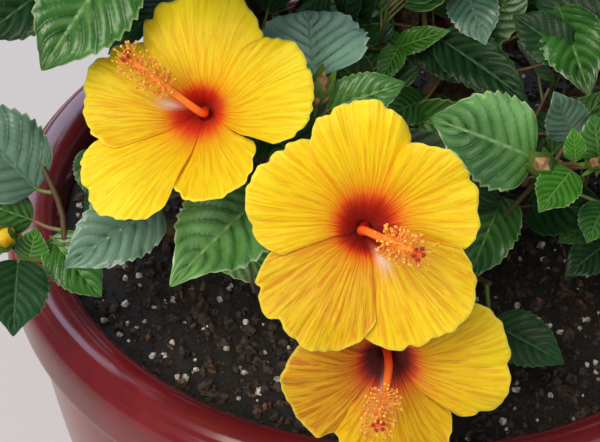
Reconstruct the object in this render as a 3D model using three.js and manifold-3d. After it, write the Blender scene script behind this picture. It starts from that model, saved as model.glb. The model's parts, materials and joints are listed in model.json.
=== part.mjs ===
// A potted hibiscus shrub with large yellow blooms, growing in a round glazed planter.
// Sizes are millimetres, +Z is up, and the origin is the middle of the planter's flat underside.
import * as THREE from 'three';
import { mergeVertices } from 'three/addons/utils/BufferGeometryUtils.js';
import Module from 'manifold-3d';

const wasm = await Module();
wasm.setup();

// Planter: a tapering bowl with a thick rolled lip, which slopes down to the soil inside.
const potHeight = 360;
const potFootRadius = 165;
const potShoulderRadius = 238;
const lipOuterRadius = 248;
const lipHeight = 46;
const rimInnerRadius = 214;
const lipSlope = { top: [13, 1], edge: [4, 6], inside: 14 };
const potWall = 15;
const potFloor = 18;
const potBelly = { radius: 215, height: 140 };
const shoulderInset = 6;
const shoulderDrop = 40;
const footBevel = 4;
const potSides = 36;

// Potting soil, a little below the rim and slightly heaped round the stem.
const soilTop = 338;
const soilHeap = 6;
const soilHeapRadius = 34;
const soilRings = [[150, 1], [80, 4]];
const soilBump = 1.6;
const seatGap = 0.3;

// Trunk: short, flared at the soil, forking low.
const trunkFoot = [5, 8, soilTop + soilHeap + seatGap];
const trunkMiddle = [3, 8, 366];
const trunkTop = [-1, 13, 398];
const trunkRadius = 15.5;
const trunkTaper = 2.5;
const trunkFlare = 11;
const rootRidges = 5;
const ridgeDepth = 0.22;
const trunkSides = 10;
const trunkSteps = 6;

// Boughs taper from where they leave the wood below them to a small round tip.
const boughSides = 6;
const boughSteps = 4;
const boughSag = 0.11;
const boughFootDrop = 9;

// A mass has one stem, which grows on from its bough's tip. Side twigs leave the stem between
// two shares of its length, each turned by the golden angle from the last, and curve upwards.
const twigSides = 3;
const stemSteps = 7;
const stemRadii = [2.6, 1.6];
const stemLeafSpan = [0.3, 0.97];
const sideTwigRadii = [1.7, 1.2];
const sideTwigLeafSpan = [0.24, 0.96];
const sideTwigSpan = [0.22, 0.94];
const sideTwigLength = { longest: 96, lessTowardsTip: 34, spread: 20 };
const sideTwigSteps = 3;
const sideTwigOut = 0.86;
const sideTwigAhead = 0.42;
const sideTwigLift = 0.09;
const forkLead = 6;
const forkSpread = 0.52;
const goldenAngle = Math.PI * (3 - Math.sqrt(5));
const firstSeed = 211;
const seedStep = 97;

// Leaves stand round a twig on short stalks. One that finds no room is turned and made smaller.
const leafRoot = 2.8;
const leafSpacing = 11;
const petioleLength = 13;
const leafLength = [60, 84];
const leafWidthShare = 0.64;
const leafWidest = 0.4;
const leafLean = 0.45;
const endLeafLean = 1.5;
const leafDroop = [0.12, 0.42];
const leafFaceUp = 1.1;
const leafAttempts = 9;
const retryTurn = 1.2;
const retryShrink = 0.93;

// Face leaves and buds stand on longer petioles from the stem.
const petioleRadius = 1.3;
const petioleLowest = 0.2;
const petioleRise = 8;
const petioleSag = 0.08;
const faceLeafShare = 0.93;
const faceLeafLift = 0.35;
const budShares = [-0.1, 0.25, 0.6, 1];
const budRadii = [2.2, 6.6, 5.6, 0.8];
const budSides = 6;

// Room that leaves and twigs keep from each other, from limbs and from the next mass, whose
// heart lies at this share of its stem.
const leafClearance = 4;
const bladeMargin = 3;
const limbClearance = 3.6;
const cellMargin = 1.6;
const heartShare = 0.72;

// The crown is a dome: everything that the growing rule adds stays inside it.
const crownMiddle = [2, 17, 470];
const crownReach = [276, 256];
const crownRise = 262;
const crownDrop = 93;

// The side that faces the onlooker is open. From this point the blooms, the leaves that
// frame them, patches of soil and part of the rim are in full view.
const onlooker = [-62, -843, 1037];
const onlookerPitch = 39.97;
const viewHalfWidth = 0.181;
const viewHalfHeight = 0.134;
const openDepth = 930;
const depthMargin = 12;
const hiddenShare = 0.82;
const bloomsInView = 3;

// Patches in full view, as x, y and radius: of soil, of the rim and of the ground beyond.
const soilInView = [[-165, -120, 60], [-110, -165, 62], [85, -150, 62], [110, -105, 34]];
const rimInView = [[-225, -75, 26], [-212, -130, 26], [-180, -178, 30], [-218, 40, 16], [-214, 78, 16]];
const groundInView = [[-345, 640, 60], [-300, 625, 40], [-306, 190, 60]];

// Blooms: five broad overlapping petals round a deep eye, with a long column.
const petals = 5;
const stepsPerPetal = 3;
const petalLength = 62;
const petalThickness = 1.5;
const petalCone = 70;
const petalMiddle = 36;
const petalRuffle = 3.4;
const petalSwell = 0.13;
const eyeRing = { radius: 10, height: -7 };
const throatRadius = 3.2;
const throatDepth = 24;
const columnRadius = 2.1;
const columnKnee = 10;
const columnTip = 1.2;
const columnSides = 5;
const antherStart = 0.6;
const antherRadius = 7.5;
const calyxRadius = 7;
const calyxLength = 13;
const calyxDrop = 8;
const neckLength = 16;
const neckSag = 3;
const shootRadius = 1.9;
const shootSides = 4;
const shootSteps = 6;

// The room that a bloom keeps: it opens from its throat to past the edge of its petals.
const bloomRoom = { below: 34, above: 62, throat: 14, pastPetals: 5, opensOver: 40 };

const limbs = [
  { name: 'bough_left', from: trunkTop, tip: [-158, -100, 404], radii: [8.5, 4.6] },
  { name: 'bough_front_left', from: trunkTop, tip: [-98, -78, 428], radii: [8.0, 5.2] },
  { name: 'bough_front', from: trunkTop, tip: [-44, -82, 436], radii: [7.6, 5.4] },
  { name: 'bough_front_low', from: trunkTop, tip: [2, -92, 388], radii: [7.2, 5.4] },
  { name: 'bough_right_front', from: trunkTop, tip: [70, -78, 428], radii: [8.0, 4.8] },
  { name: 'bough_inner', from: trunkTop, tip: [22, -2, 446], radii: [7.0, 4.6] },
  { name: 'bough_upper_left', from: trunkTop, tip: [-112, -20, 506], radii: [8.4, 4.8] },
  { name: 'bough_left_back', from: trunkTop, tip: [-148, 30, 448], radii: [7.8, 4.6] },
  { name: 'bough_right', from: trunkTop, tip: [152, -30, 452], radii: [8.6, 5.4] },
  { name: 'bough_right_back', from: trunkTop, tip: [116, 104, 474], radii: [8.4, 4.8] },
  { name: 'bough_back', from: trunkTop, tip: [-8, 146, 470], radii: [8.2, 5.4] },
  { name: 'bough_back_left', from: trunkTop, tip: [-118, 98, 472], radii: [8.2, 5.4] },
  { name: 'bough_right_low', from: trunkTop, tip: [124, -84, 400], radii: [7.6, 4.6] },
  { name: 'bough_right_side', from: trunkTop, tip: [148, 42, 420], radii: [7.8, 4.6] },
  { name: 'bough_back_right', from: trunkTop, tip: [66, 142, 424], radii: [7.6, 4.6] },
  { name: 'bough_back_low', from: trunkTop, tip: [-84, 134, 422], radii: [7.6, 4.6] },
  { name: 'leader', from: trunkTop, tip: [8, 42, 572], radii: [9.5, 5.4] },
  { name: 'bough_upper_right', from: trunkTop, tip: [88, 32, 548], radii: [8.0, 4.8] },
  { name: 'bough_upper_back', from: trunkTop, tip: [-58, 104, 560], radii: [7.8, 4.6] },
];

// Each mass of leaves grows on from its bough's tip along a stem through these points.
// Face leaves and buds are the ones that frame the blooms: from the foot of the blade to its tip.
const masses = [
  {
    name: 'leaves_left', bough: 'bough_left', sideTwigs: 4,
    stem: [[-187, -141, 419], [-192, -129, 448], [-206, -112, 476]],
    faceLeaves: [
      { foot: [-205, -123, 456], tip: [-244, -117, 508], width: 47 },
      { foot: [-208, -130, 440], tip: [-246, -134, 462], width: 28 },
      { foot: [-198, -137, 434], tip: [-170, -158, 409], width: 30 },
      { foot: [-214, -152, 430], tip: [-212, -198, 420], width: 36 },
    ],
    buds: [{ foot: [-219, -141, 440], tip: [-223, -155, 446] }],
  },
  {
    name: 'leaves_front_left', bough: 'bough_front_left', sideTwigs: 4,
    stem: [[-116, -100, 440], [-140, -112, 448]],
    faceLeaves: [
      { foot: [-139, -125, 446], tip: [-186, -168, 441], width: 40 },
      { foot: [-84, -118, 446], tip: [-124, -196, 460], width: 52 },
      { foot: [-160, -108, 446], tip: [-182, -116, 436], width: 26 },
    ],
    buds: [],
  },
  {
    name: 'leaves_front', bough: 'bough_front', sideTwigs: 3,
    stem: [[-52, -98, 468], [-54, -112, 498]],
    faceLeaves: [
      { foot: [-54, -106, 516], tip: [-58, -30, 516], width: 58 },
      { foot: [-48, -122, 508], tip: [-8, -122, 527], width: 26 },
    ],
    buds: [{ foot: [-53, -119, 510], tip: [-48, -120, 536] }],
  },
  {
    name: 'leaves_low_right', bough: 'bough_front_low', sideTwigs: 3,
    stem: [[26, -118, 396], [44, -140, 402]],
    faceLeaves: [
      { foot: [53, -98, 430], tip: [30, -150, 414], width: 34 },
      { foot: [43, -166, 396], tip: [80, -190, 392], width: 30 },
    ],
    buds: [],
  },
  {
    name: 'leaves_right_front', bough: 'bough_right_front', sideTwigs: 5,
    stem: [[74, -100, 448], [78, -122, 474]],
    faceLeaves: [
      { foot: [63, -126, 480], tip: [8, -134, 513], width: 48 },
      { foot: [81, -140, 482], tip: [62, -168, 479], width: 24 },
      { foot: [84, -134, 484], tip: [81, -132, 504], width: 12 },
      { foot: [104, -100, 412], tip: [84, -116, 412], width: 14 },
    ],
    buds: [{ foot: [71, -136, 477], tip: [60, -139, 493] }],
  },
  {
    name: 'leaves_inner', bough: 'bough_inner', sideTwigs: 4,
    stem: [[14, 8, 470], [10, 16, 500]],
    faceLeaves: [
      { foot: [-6, -20, 478], tip: [22, -30, 498], width: 16 },
      { foot: [19, -18, 484], tip: [66, -62, 474], width: 30 },
      { foot: [96, -24, 476], tip: [62, -12, 496], width: 30 },
    ],
    buds: [],
  },
  {
    name: 'leaves_upper_left', bough: 'bough_upper_left', sideTwigs: 5,
    stem: [[-138, -52, 560], [-152, -62, 606]],
    faceLeaves: [
      { foot: [-152, -92, 586], tip: [-191, -142, 550], width: 52 },
      { foot: [-186, -48, 548], tip: [-232, -91, 533], width: 40 },
    ],
    buds: [],
  },
  {
    name: 'leaves_left_back', bough: 'bough_left_back', sideTwigs: 6,
    stem: [[-184, 40, 484], [-206, 48, 524]], faceLeaves: [], buds: [],
  },
  {
    name: 'leaves_right', bough: 'bough_right', sideTwigs: 5,
    stem: [[190, -46, 480], [212, -52, 520]], faceLeaves: [], buds: [],
  },
  {
    name: 'leaves_right_back', bough: 'bough_right_back', sideTwigs: 5,
    stem: [[152, 134, 510], [170, 150, 550]], faceLeaves: [], buds: [],
  },
  {
    name: 'leaves_back', bough: 'bough_back', sideTwigs: 5,
    stem: [[-6, 184, 506], [0, 206, 548]], faceLeaves: [], buds: [],
  },
  {
    name: 'leaves_back_left', bough: 'bough_back_left', sideTwigs: 5,
    stem: [[-158, 120, 506], [-178, 128, 546]], faceLeaves: [], buds: [],
  },
  {
    name: 'leaves_right_low', bough: 'bough_right_low', sideTwigs: 4,
    stem: [[160, -116, 414], [184, -132, 446]], faceLeaves: [], buds: [],
  },
  {
    name: 'leaves_right_side', bough: 'bough_right_side', sideTwigs: 4,
    stem: [[192, 52, 440], [224, 58, 472]], faceLeaves: [], buds: [],
  },
  {
    name: 'leaves_back_right', bough: 'bough_back_right', sideTwigs: 4,
    stem: [[92, 190, 436], [108, 212, 462]], faceLeaves: [], buds: [],
  },
  {
    name: 'leaves_back_low', bough: 'bough_back_low', sideTwigs: 4,
    stem: [[-112, 178, 436], [-128, 200, 464]], faceLeaves: [], buds: [],
  },
  {
    name: 'leaves_top', bough: 'leader', sideTwigs: 5,
    stem: [[4, 50, 624], [-2, 52, 668]], faceLeaves: [], buds: [],
  },
  {
    name: 'leaves_upper_right', bough: 'bough_upper_right', sideTwigs: 5,
    stem: [[118, 24, 590], [138, 16, 628]], faceLeaves: [], buds: [],
  },
  {
    name: 'leaves_upper_back', bough: 'bough_upper_back', sideTwigs: 5,
    stem: [[-78, 126, 606], [-88, 134, 644]], faceLeaves: [], buds: [],
  },
];

// Each bloom stands on a shoot from its bough's tip. The eye is where the petals meet,
// the axis is the way it faces, and the column is the reach from the eye to its end.
const blooms = [
  { name: 'bloom_upper', bough: 'bough_front_left', eye: [-112, -135, 512],
    axis: [-0.232, -0.597, 0.768], column: [-38, -8, 48], roll: -15 },
  { name: 'bloom_middle', bough: 'bough_front', eye: [-29, -230, 523],
    axis: [-0.073, -0.891, 0.448], column: [18, -44, 19], roll: 2 },
  { name: 'bloom_lower', bough: 'bough_front_low', eye: [-18, -238, 435],
    axis: [0, -0.966, 0.259], column: [-6, -51, 11], roll: 12 },
  { name: 'bloom_right', bough: 'bough_right', eye: [226, -120, 500],
    axis: [0.72, -0.55, 0.42], column: [38, -26, 30], roll: 20 },
  { name: 'bloom_back', bough: 'bough_back', eye: [58, 226, 520],
    axis: [0.25, 0.86, 0.44], column: [8, 46, 28], roll: -8 },
  { name: 'bloom_back_left', bough: 'bough_back_left', eye: [-206, 96, 584],
    axis: [-0.74, 0.3, 0.6], column: [-40, 10, 36], roll: 30 },
  { name: 'bloom_top', bough: 'leader', eye: [52, 20, 690],
    axis: [0.34, -0.2, 0.92], column: [22, -16, 48], roll: 5 },
];

const glaze = new THREE.MeshStandardMaterial({ color: 0x7a2426, roughness: 0.16, metalness: 0 });
const soilMix = new THREE.MeshStandardMaterial({ color: 0x2a211c, roughness: 0.95, metalness: 0 });
const bark = new THREE.MeshStandardMaterial({ color: 0x5a4634, roughness: 0.85, metalness: 0 });
const leafGreen = new THREE.MeshStandardMaterial({ color: 0x2f6b28, roughness: 0.4, metalness: 0 });
const petalYellow = new THREE.MeshStandardMaterial({ color: 0xf7cc22, roughness: 0.5, metalness: 0 });

const vec = (p) => new THREE.Vector3(p[0], p[1], p[2]);
const upward = new THREE.Vector3(0, 0, 1);

// Park and Miller's small generator: the same seed always gives the same plant.
function seededDraw(seed) {
  let state = seed;
  return () => {
    state = (state * 16807) % 2147483647;
    return state / 2147483647;
  };
}

function toSolid(geometry) {
  const bare = geometry.clone();
  bare.deleteAttribute('normal');
  bare.deleteAttribute('uv');
  const merged = mergeVertices(bare, 1e-4);
  const corners = merged.index.array;
  const kept = [];
  for (let i = 0; i < corners.length; i += 3) {
    const [a, b, c] = [corners[i], corners[i + 1], corners[i + 2]];
    if (a !== b && b !== c && c !== a) {
      kept.push(a, b, c);
    }
  }
  const places = merged.attributes.position.array;
  if (signedVolume(places, kept) < 0) {
    kept.reverse();
  }
  return new wasm.Manifold(new wasm.Mesh({
    numProp: 3,
    vertProperties: new Float32Array(places),
    triVerts: new Uint32Array(kept),
  }));
}

function signedVolume(places, corners) {
  const at = (i) => new THREE.Vector3().fromArray(places, corners[i] * 3);
  let volume = 0;
  for (let i = 0; i < corners.length; i += 3) {
    volume += at(i).dot(at(i + 1).cross(at(i + 2)));
  }
  return volume;
}

function fromPoints(points, faces) {
  const geometry = new THREE.BufferGeometry();
  const places = points.flatMap((p) => [p.x, p.y, p.z]);
  geometry.setAttribute('position', new THREE.Float32BufferAttribute(places, 3));
  geometry.setIndex(faces.flat());
  return geometry;
}

// Joins solids two by two, so that each join stays small.
function fuse(solids) {
  let layer = solids;
  while (layer.length > 1) {
    const joined = [];
    for (let i = 0; i < layer.length; i += 2) {
      joined.push(i + 1 < layer.length ? layer[i].add(layer[i + 1]) : layer[i]);
    }
    layer = joined;
  }
  return layer[0];
}

// Drops loose scraps and the walls of any sealed hollow.
function mainBody(solid) {
  const pieces = solid.decompose();
  return pieces.reduce((best, piece) => (piece.volume() > best.volume() ? piece : best));
}

function toMesh(name, solid, material) {
  const { vertProperties, triVerts } = solid.getMesh();
  const geometry = new THREE.BufferGeometry();
  geometry.setAttribute('position', new THREE.BufferAttribute(vertProperties, 3));
  geometry.setIndex(new THREE.BufferAttribute(triVerts, 1));
  const mesh = new THREE.Mesh(geometry, material);
  mesh.name = name;
  return mesh;
}

// Two directions square to a limb: level first, then up the limb's side.
function squareTo(direction) {
  const level = new THREE.Vector3().crossVectors(direction, upward);
  if (level.length() < 0.05) {
    level.set(1, 0, 0);
  }
  level.normalize();
  const rising = new THREE.Vector3().crossVectors(level, direction).normalize();
  return [level, rising];
}

function smoothPath(points, steps) {
  return new THREE.CatmullRomCurve3(points, false, 'catmullrom', 0.5).getPoints(steps);
}

function along(points, i) {
  const before = points[Math.max(i - 1, 0)];
  const after = points[Math.min(i + 1, points.length - 1)];
  return new THREE.Vector3().subVectors(after, before).normalize();
}

function pointAt(points, share) {
  const place = share * (points.length - 1);
  const i = Math.min(Math.floor(place), points.length - 2);
  return new THREE.Vector3().lerpVectors(points[i], points[i + 1], place - i);
}

// Rings of corners round a path, carried along it without twisting.
function ringsRound(points, sides, radiusAt) {
  const corners = [];
  let level = squareTo(along(points, 0))[0];
  points.forEach((point, i) => {
    const direction = along(points, i);
    level = level.clone().addScaledVector(direction, -level.dot(direction)).normalize();
    const rising = new THREE.Vector3().crossVectors(direction, level);
    for (let k = 0; k < sides; k++) {
      const angle = (2 * Math.PI * k) / sides;
      const radius = radiusAt(i, angle);
      corners.push(point.clone()
        .addScaledVector(level, radius * Math.cos(angle))
        .addScaledVector(rising, radius * Math.sin(angle)));
    }
  });
  return corners;
}

// A limb with flat ends.
function limbGeometry(points, radiusAt, sides) {
  const corners = ringsRound(points, sides, (i, angle) => radiusAt(i / (points.length - 1), angle));
  const faces = [];
  const last = (points.length - 1) * sides;
  for (let k = 1; k < sides - 1; k++) {
    faces.push([0, k + 1, k], [last, last + k, last + k + 1]);
  }
  for (let i = 0; i < last; i += sides) {
    for (let k = 0; k < sides; k++) {
      const next = (k + 1) % sides;
      faces.push([i + k, i + next, i + sides + next], [i + k, i + sides + next, i + sides + k]);
    }
  }
  return fromPoints(corners, faces);
}

function taperedLimb(points, [thick, thin], sides, extra = 0) {
  const radiusAt = (share) => THREE.MathUtils.lerp(thick, thin, share) + extra;
  return toSolid(limbGeometry(points, radiusAt, sides));
}

// Planter and soil are turned about the Z axis from the same inner wall.
const innerWall = [
  [potFootRadius - potWall, potFloor],
  [potBelly.radius - potWall, potBelly.height],
  [potShoulderRadius - potWall - shoulderInset, potHeight - lipHeight - shoulderDrop],
  [rimInnerRadius - 2, soilTop],
  [rimInnerRadius, potHeight - lipSlope.inside],
];

function turned(profile) {
  const lathe = new THREE.LatheGeometry(profile.map(([r, z]) => new THREE.Vector2(r, z)), potSides);
  return lathe.rotateX(Math.PI / 2);
}

function makePot() {
  const bodyTop = potHeight - lipHeight;
  const body = new THREE.QuadraticBezierCurve(
    new THREE.Vector2(potFootRadius, footBevel),
    new THREE.Vector2(potShoulderRadius - 14, bodyTop * 0.4),
    new THREE.Vector2(potShoulderRadius, bodyTop - 4),
  ).getPoints(4).map((p) => [p.x, p.y]);
  const lip = [
    [lipOuterRadius - 3, bodyTop + 2],
    [lipOuterRadius, bodyTop + 10],
    [lipOuterRadius, potHeight - 20],
    [lipOuterRadius - 6, potHeight - 7],
    [lipOuterRadius - 15, potHeight],
    [rimInnerRadius + lipSlope.top[0], potHeight - lipSlope.top[1]],
    [rimInnerRadius + lipSlope.edge[0], potHeight - lipSlope.edge[1]],
  ];
  const underside = [[0, 0], [potFootRadius - footBevel, 0]];
  const inside = [...innerWall].reverse();
  return toSolid(turned([...underside, ...body, ...lip, ...inside, [0, potFloor]]));
}

// The soil's top has low bumps, but is level where the trunk stands on it.
function makeSoil() {
  const bottom = potFloor + seatGap;
  const side = innerWall.slice(0, 4).map(([r, z]) => [r - seatGap * 1.3, Math.max(z, bottom)]);
  const top = soilRings.map(([r, rise]) => [r, soilTop + rise]);
  const heap = [[soilHeapRadius, soilTop + soilHeap], [0, soilTop + soilHeap]];
  const geometry = turned([[0, bottom], ...side, ...top, ...heap]);
  const place = geometry.attributes.position;
  for (let i = 0; i < place.count; i++) {
    const radius = Math.hypot(place.getX(i), place.getY(i));
    if (place.getZ(i) > soilTop + 0.5 && radius > soilHeapRadius + 5) {
      const angle = Math.atan2(place.getY(i), place.getX(i));
      place.setZ(i, place.getZ(i) + soilBump * Math.sin(angle * 3 + radius) * Math.cos(angle * 2));
    }
  }
  return toSolid(geometry);
}

// The trunk's foot spreads into five low ridges where its roots begin.
function trunkGeometry(extra) {
  const points = smoothPath([vec(trunkFoot), vec(trunkMiddle), vec(trunkTop)], trunkSteps);
  const radiusAt = (share, angle) => {
    const flare = trunkFlare * Math.pow(1 - share, 4);
    const ridge = 1 + ridgeDepth * Math.cos(rootRidges * angle);
    return trunkRadius - trunkTaper * share + flare * ridge + extra;
  };
  const geometry = limbGeometry(points, radiusAt, trunkSides);
  for (let k = 0; k < trunkSides; k++) {
    geometry.attributes.position.setZ(k, trunkFoot[2]);
  }
  return geometry;
}

// A bough leaves the trunk low and flat, then turns up towards its tip.
function boughPath(limb) {
  const start = vec(limb.from).add(new THREE.Vector3(0, 0, -boughFootDrop));
  const end = vec(limb.tip);
  const middle = start.clone().lerp(end, 0.5);
  middle.z -= boughSag * start.distanceTo(end);
  return smoothPath([start, middle, end], boughSteps);
}

// Each limb is cut clear of the trunk and of the limbs made before it.
function makeLimbs() {
  const made = [];
  let wood = toSolid(trunkGeometry(seatGap));
  for (const limb of limbs) {
    const path = boughPath(limb);
    const solid = mainBody(taperedLimb(path, limb.radii, boughSides).subtract(wood));
    made.push({ ...limb, path, solid });
    wood = wood.add(taperedLimb(path, limb.radii, boughSides, seatGap));
  }
  return made;
}

// Where shoots start on a bough's tip: a stem and a bloom's shoot stand side by side on it.
function forkAt(limb, ownWay, otherWay) {
  const tip = vec(limb.tip);
  const direction = along(limb.path, limb.path.length - 1);
  const start = tip.clone().addScaledVector(direction, seatGap);
  if (otherWay) {
    const apart = ownWay.clone().sub(otherWay);
    apart.addScaledVector(direction, -apart.dot(direction)).normalize();
    start.addScaledVector(apart, limb.radii[1] * forkSpread);
  }
  return { start, direction };
}

function stemPath(mass, limb, bloom) {
  const aim = vec(mass.stem[0]).sub(vec(limb.tip)).normalize();
  const other = bloom ? vec(bloom.eye).sub(vec(limb.tip)).normalize() : null;
  const { start, direction } = forkAt(limb, aim, other);
  const lead = start.clone().addScaledVector(direction, forkLead);
  return [start, ...smoothPath([lead, ...mass.stem.map(vec)], stemSteps)];
}

function shootPath(bloom, limb, mass) {
  const axis = vec(bloom.axis).normalize();
  const aim = vec(bloom.eye).sub(vec(limb.tip)).normalize();
  const other = vec(mass.stem[0]).sub(vec(limb.tip)).normalize();
  const { start, direction } = forkAt(limb, aim, other);
  const lead = start.clone().addScaledVector(direction, forkLead);
  const calyx = vec(bloom.eye).addScaledVector(axis, -throatDepth - calyxDrop);
  const neck = calyx.clone().addScaledVector(axis, -neckLength);
  neck.z -= neckSag;
  return [start, ...smoothPath([lead, neck, calyx], shootSteps)];
}

// Places along a twig where it has a ring of corners: its own, and a close pair for each leaf.
function ringShares(points, leaves) {
  const length = points.reduce((sum, p, i) => sum + (i ? p.distanceTo(points[i - 1]) : 0), 0);
  const half = leafRoot / 2 / length;
  const pairs = leaves.map((leaf) => ({ low: leaf.share - half, high: leaf.share + half, leaf }));
  const plain = points.map((p, i) => i / (points.length - 1))
    .filter((share) => !pairs.some((pair) => Math.abs(share - pair.leaf.share) < 2 * half));
  const shares = [...plain.map((share) => ({ share })),
    ...pairs.flatMap((pair) => [{ share: pair.low, leaf: pair.leaf }, { share: pair.high }])];
  return shares.sort((one, other) => one.share - other.share);
}

// A three-sided twig whose leaves grow out of its own faces, so twig and leaves are one shell.
function leafyTwig(points, radii, leaves) {
  const shares = ringShares(points, leaves);
  const path = shares.map(({ share }) => pointAt(points, share));
  const radiusAt = (i) => THREE.MathUtils.lerp(radii[0], radii[1], shares[i].share);
  const corners = ringsRound(path, twigSides, radiusAt);
  const last = (path.length - 1) * twigSides;
  const faces = [[0, 2, 1], [last, last + 1, last + 2]];
  for (let i = 0; i < path.length - 1; i++) {
    const leaf = shares[i].leaf;
    const direction = along(path, i);
    const ring = i * twigSides;
    const leafSide = leaf ? sideFacing(corners, ring, path[i], leaf.tip.clone().sub(path[i])) : -1;
    for (let k = 0; k < twigSides; k++) {
      const next = (k + 1) % twigSides;
      const loop = [ring + k, ring + next, ring + twigSides + next, ring + twigSides + k];
      if (k === leafSide) {
        faces.push(...leafFaces(corners, loop, leaf, direction));
      } else {
        faces.push([loop[0], loop[1], loop[2]], [loop[0], loop[2], loop[3]]);
      }
    }
  }
  return fromPoints(corners, faces);
}

// Which side of a twig's ring looks most towards a leaf.
function sideFacing(corners, ring, middle, way) {
  const facing = [0, 1, 2].map((k) => {
    const out = corners[ring + k].clone().lerp(corners[ring + ((k + 1) % twigSides)], 0.5);
    return out.sub(middle).normalize().dot(way);
  });
  return facing.indexOf(Math.max(...facing));
}

// The way across a blade whose upper side looks along leaf.face.
function bladeAcross(leaf) {
  const direction = leaf.tip.clone().sub(leaf.foot).normalize();
  return new THREE.Vector3().crossVectors(direction, leaf.face).normalize();
}

// A leaf has eight faces: its root is a short stretch of the twig's side, from which its blade
// widens and then narrows to its tip.
function leafFaces(corners, loop, leaf, twigWay) {
  const across = bladeAcross(leaf);
  const round = corners[loop[1]].clone().sub(corners[loop[0]]).normalize();
  const lengthwise = Math.abs(across.dot(twigWay)) > Math.abs(across.dot(round));
  const [v0, v1, v2, v3] = lengthwise ? [loop[1], loop[2], loop[3], loop[0]] : loop;
  const side = lengthwise ? twigWay : round;
  if (across.dot(side) < 0) {
    across.negate();
  }
  const widest = leaf.foot.clone().lerp(leaf.tip, leafWidest);
  const tip = corners.push(leaf.tip.clone()) - 1;
  const near = corners.push(widest.clone().addScaledVector(across, -leaf.width / 2)) - 1;
  const far = corners.push(widest.clone().addScaledVector(across, leaf.width / 2)) - 1;
  return [[v0, v1, tip], [v1, far, tip], [v0, tip, near], [v1, v2, far],
    [v2, v3, tip], [v2, tip, far], [v3, near, tip], [v3, v0, near]];
}

// A bud: a pointed spindle whose foot is sunk in its stalk.
function budSolid(bud) {
  const foot = vec(bud.foot);
  const reach = vec(bud.tip).sub(foot);
  const points = budShares.map((share) => foot.clone().addScaledVector(reach, share));
  const radiusAt = (share) => budRadii[Math.round(share * (budRadii.length - 1))];
  return toSolid(limbGeometry(points, radiusAt, budSides));
}

// The limbs, stems, shoots and petioles that the growing rule keeps clear of, as straight rods.
function makeRods(madeLimbs, stems, shoots, petioles) {
  const rods = [];
  const addRod = (points, radii, owner) => {
    for (let i = 0; i < points.length - 1; i++) {
      rods.push({ a: points[i], b: points[i + 1], radius: Math.max(...radii), owner });
    }
  };
  addRod([vec(trunkFoot), vec(trunkTop)], [trunkRadius + trunkFlare / 2], 'trunk');
  madeLimbs.forEach((limb) => addRod(limb.path, limb.radii, limb.name));
  stems.forEach((stem) => addRod(stem.points, stemRadii, stem.mass));
  shoots.forEach((shoot) => addRod(shoot.points, [shootRadius], shoot.bloom));
  petioles.forEach((petiole) => addRod(petiole.points, [petioleRadius], petiole.mass));
  return rods;
}

function hitsRod(point, rod) {
  const span = new THREE.Vector3().subVectors(rod.b, rod.a);
  const share = THREE.MathUtils.clamp(point.clone().sub(rod.a).dot(span) / span.lengthSq(), 0, 1);
  const nearest = rod.a.clone().addScaledVector(span, share);
  return nearest.distanceTo(point) < rod.radius + limbClearance;
}

function hitsBloom(point, bloom) {
  const axis = vec(bloom.axis).normalize();
  const offset = point.clone().sub(vec(bloom.eye));
  const height = offset.dot(axis);
  if (height < -bloomRoom.below || height > bloomRoom.above) return false;
  const opened = THREE.MathUtils.clamp((height + bloomRoom.below) / bloomRoom.opensOver, 0, 1);
  const room = THREE.MathUtils.lerp(bloomRoom.throat, petalLength + bloomRoom.pastPetals, opened);
  return offset.addScaledVector(axis, -height).length() < room;
}

function hitsLeaf(point, leaf) {
  const length = leaf.tip.distanceTo(leaf.foot);
  const direction = leaf.tip.clone().sub(leaf.foot).normalize();
  const across = bladeAcross(leaf);
  const normal = new THREE.Vector3().crossVectors(across, direction);
  const offset = point.clone().sub(leaf.foot.clone().lerp(leaf.tip, 0.5));
  const lengthwise = Math.abs(offset.dot(direction)) / (length / 2 + bladeMargin);
  const crosswise = Math.abs(offset.dot(across)) / (leaf.width / 2 + bladeMargin);
  return Math.abs(offset.dot(normal)) < leafClearance && lengthwise ** 2 + crosswise ** 2 < 1;
}

// The onlooker's line of sight, and the way up across it.
const pitch = THREE.MathUtils.degToRad(onlookerPitch);
const sightForward = new THREE.Vector3(0, Math.cos(pitch), -Math.sin(pitch));
const sightUp = new THREE.Vector3(0, Math.sin(pitch), Math.cos(pitch));
const frontBlooms = blooms.slice(0, bloomsInView);

// Places in full view that leaves must not cover: centre and radius.
function placesInView() {
  return [
    ...frontBlooms.map((bloom) => ({ at: vec(bloom.eye), radius: petalLength })),
    ...soilInView.map(([x, y, r]) => ({ at: vec([x, y, soilTop]), radius: r })),
    ...rimInView.map(([x, y, r]) => ({ at: vec([x, y, potHeight]), radius: r })),
    ...groundInView.map(([x, y, r]) => ({ at: vec([x, y, 0]), radius: r })),
  ];
}

// Where the onlooker sees a point: its depth, and how far across and up from the line of sight.
function sightOf(point) {
  const offset = point.clone().sub(vec(onlooker));
  const depth = offset.dot(sightForward);
  return { depth, across: offset.x / depth, rise: offset.dot(sightUp) / depth };
}

// True where a point would stand before something that is in full view.
function blocksView(point, inView) {
  const sight = sightOf(point);
  if (Math.abs(sight.across) > viewHalfWidth || Math.abs(sight.rise) > viewHalfHeight) return false;
  const apart = (target) => Math.hypot(sight.across - target.across, sight.rise - target.rise);
  const hidden = frontBlooms.some((bloom) => {
    const target = sightOf(vec(bloom.eye));
    const isBehind = sight.depth > target.depth + depthMargin;
    return isBehind && apart(target) < (hiddenShare * petalLength) / target.depth;
  });
  if (hidden) return false;
  if (sight.depth < openDepth) return true;
  return inView.some(({ at, radius }) => {
    const target = sightOf(at);
    return sight.depth < target.depth - depthMargin && apart(target) < radius / target.depth;
  });
}

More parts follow.
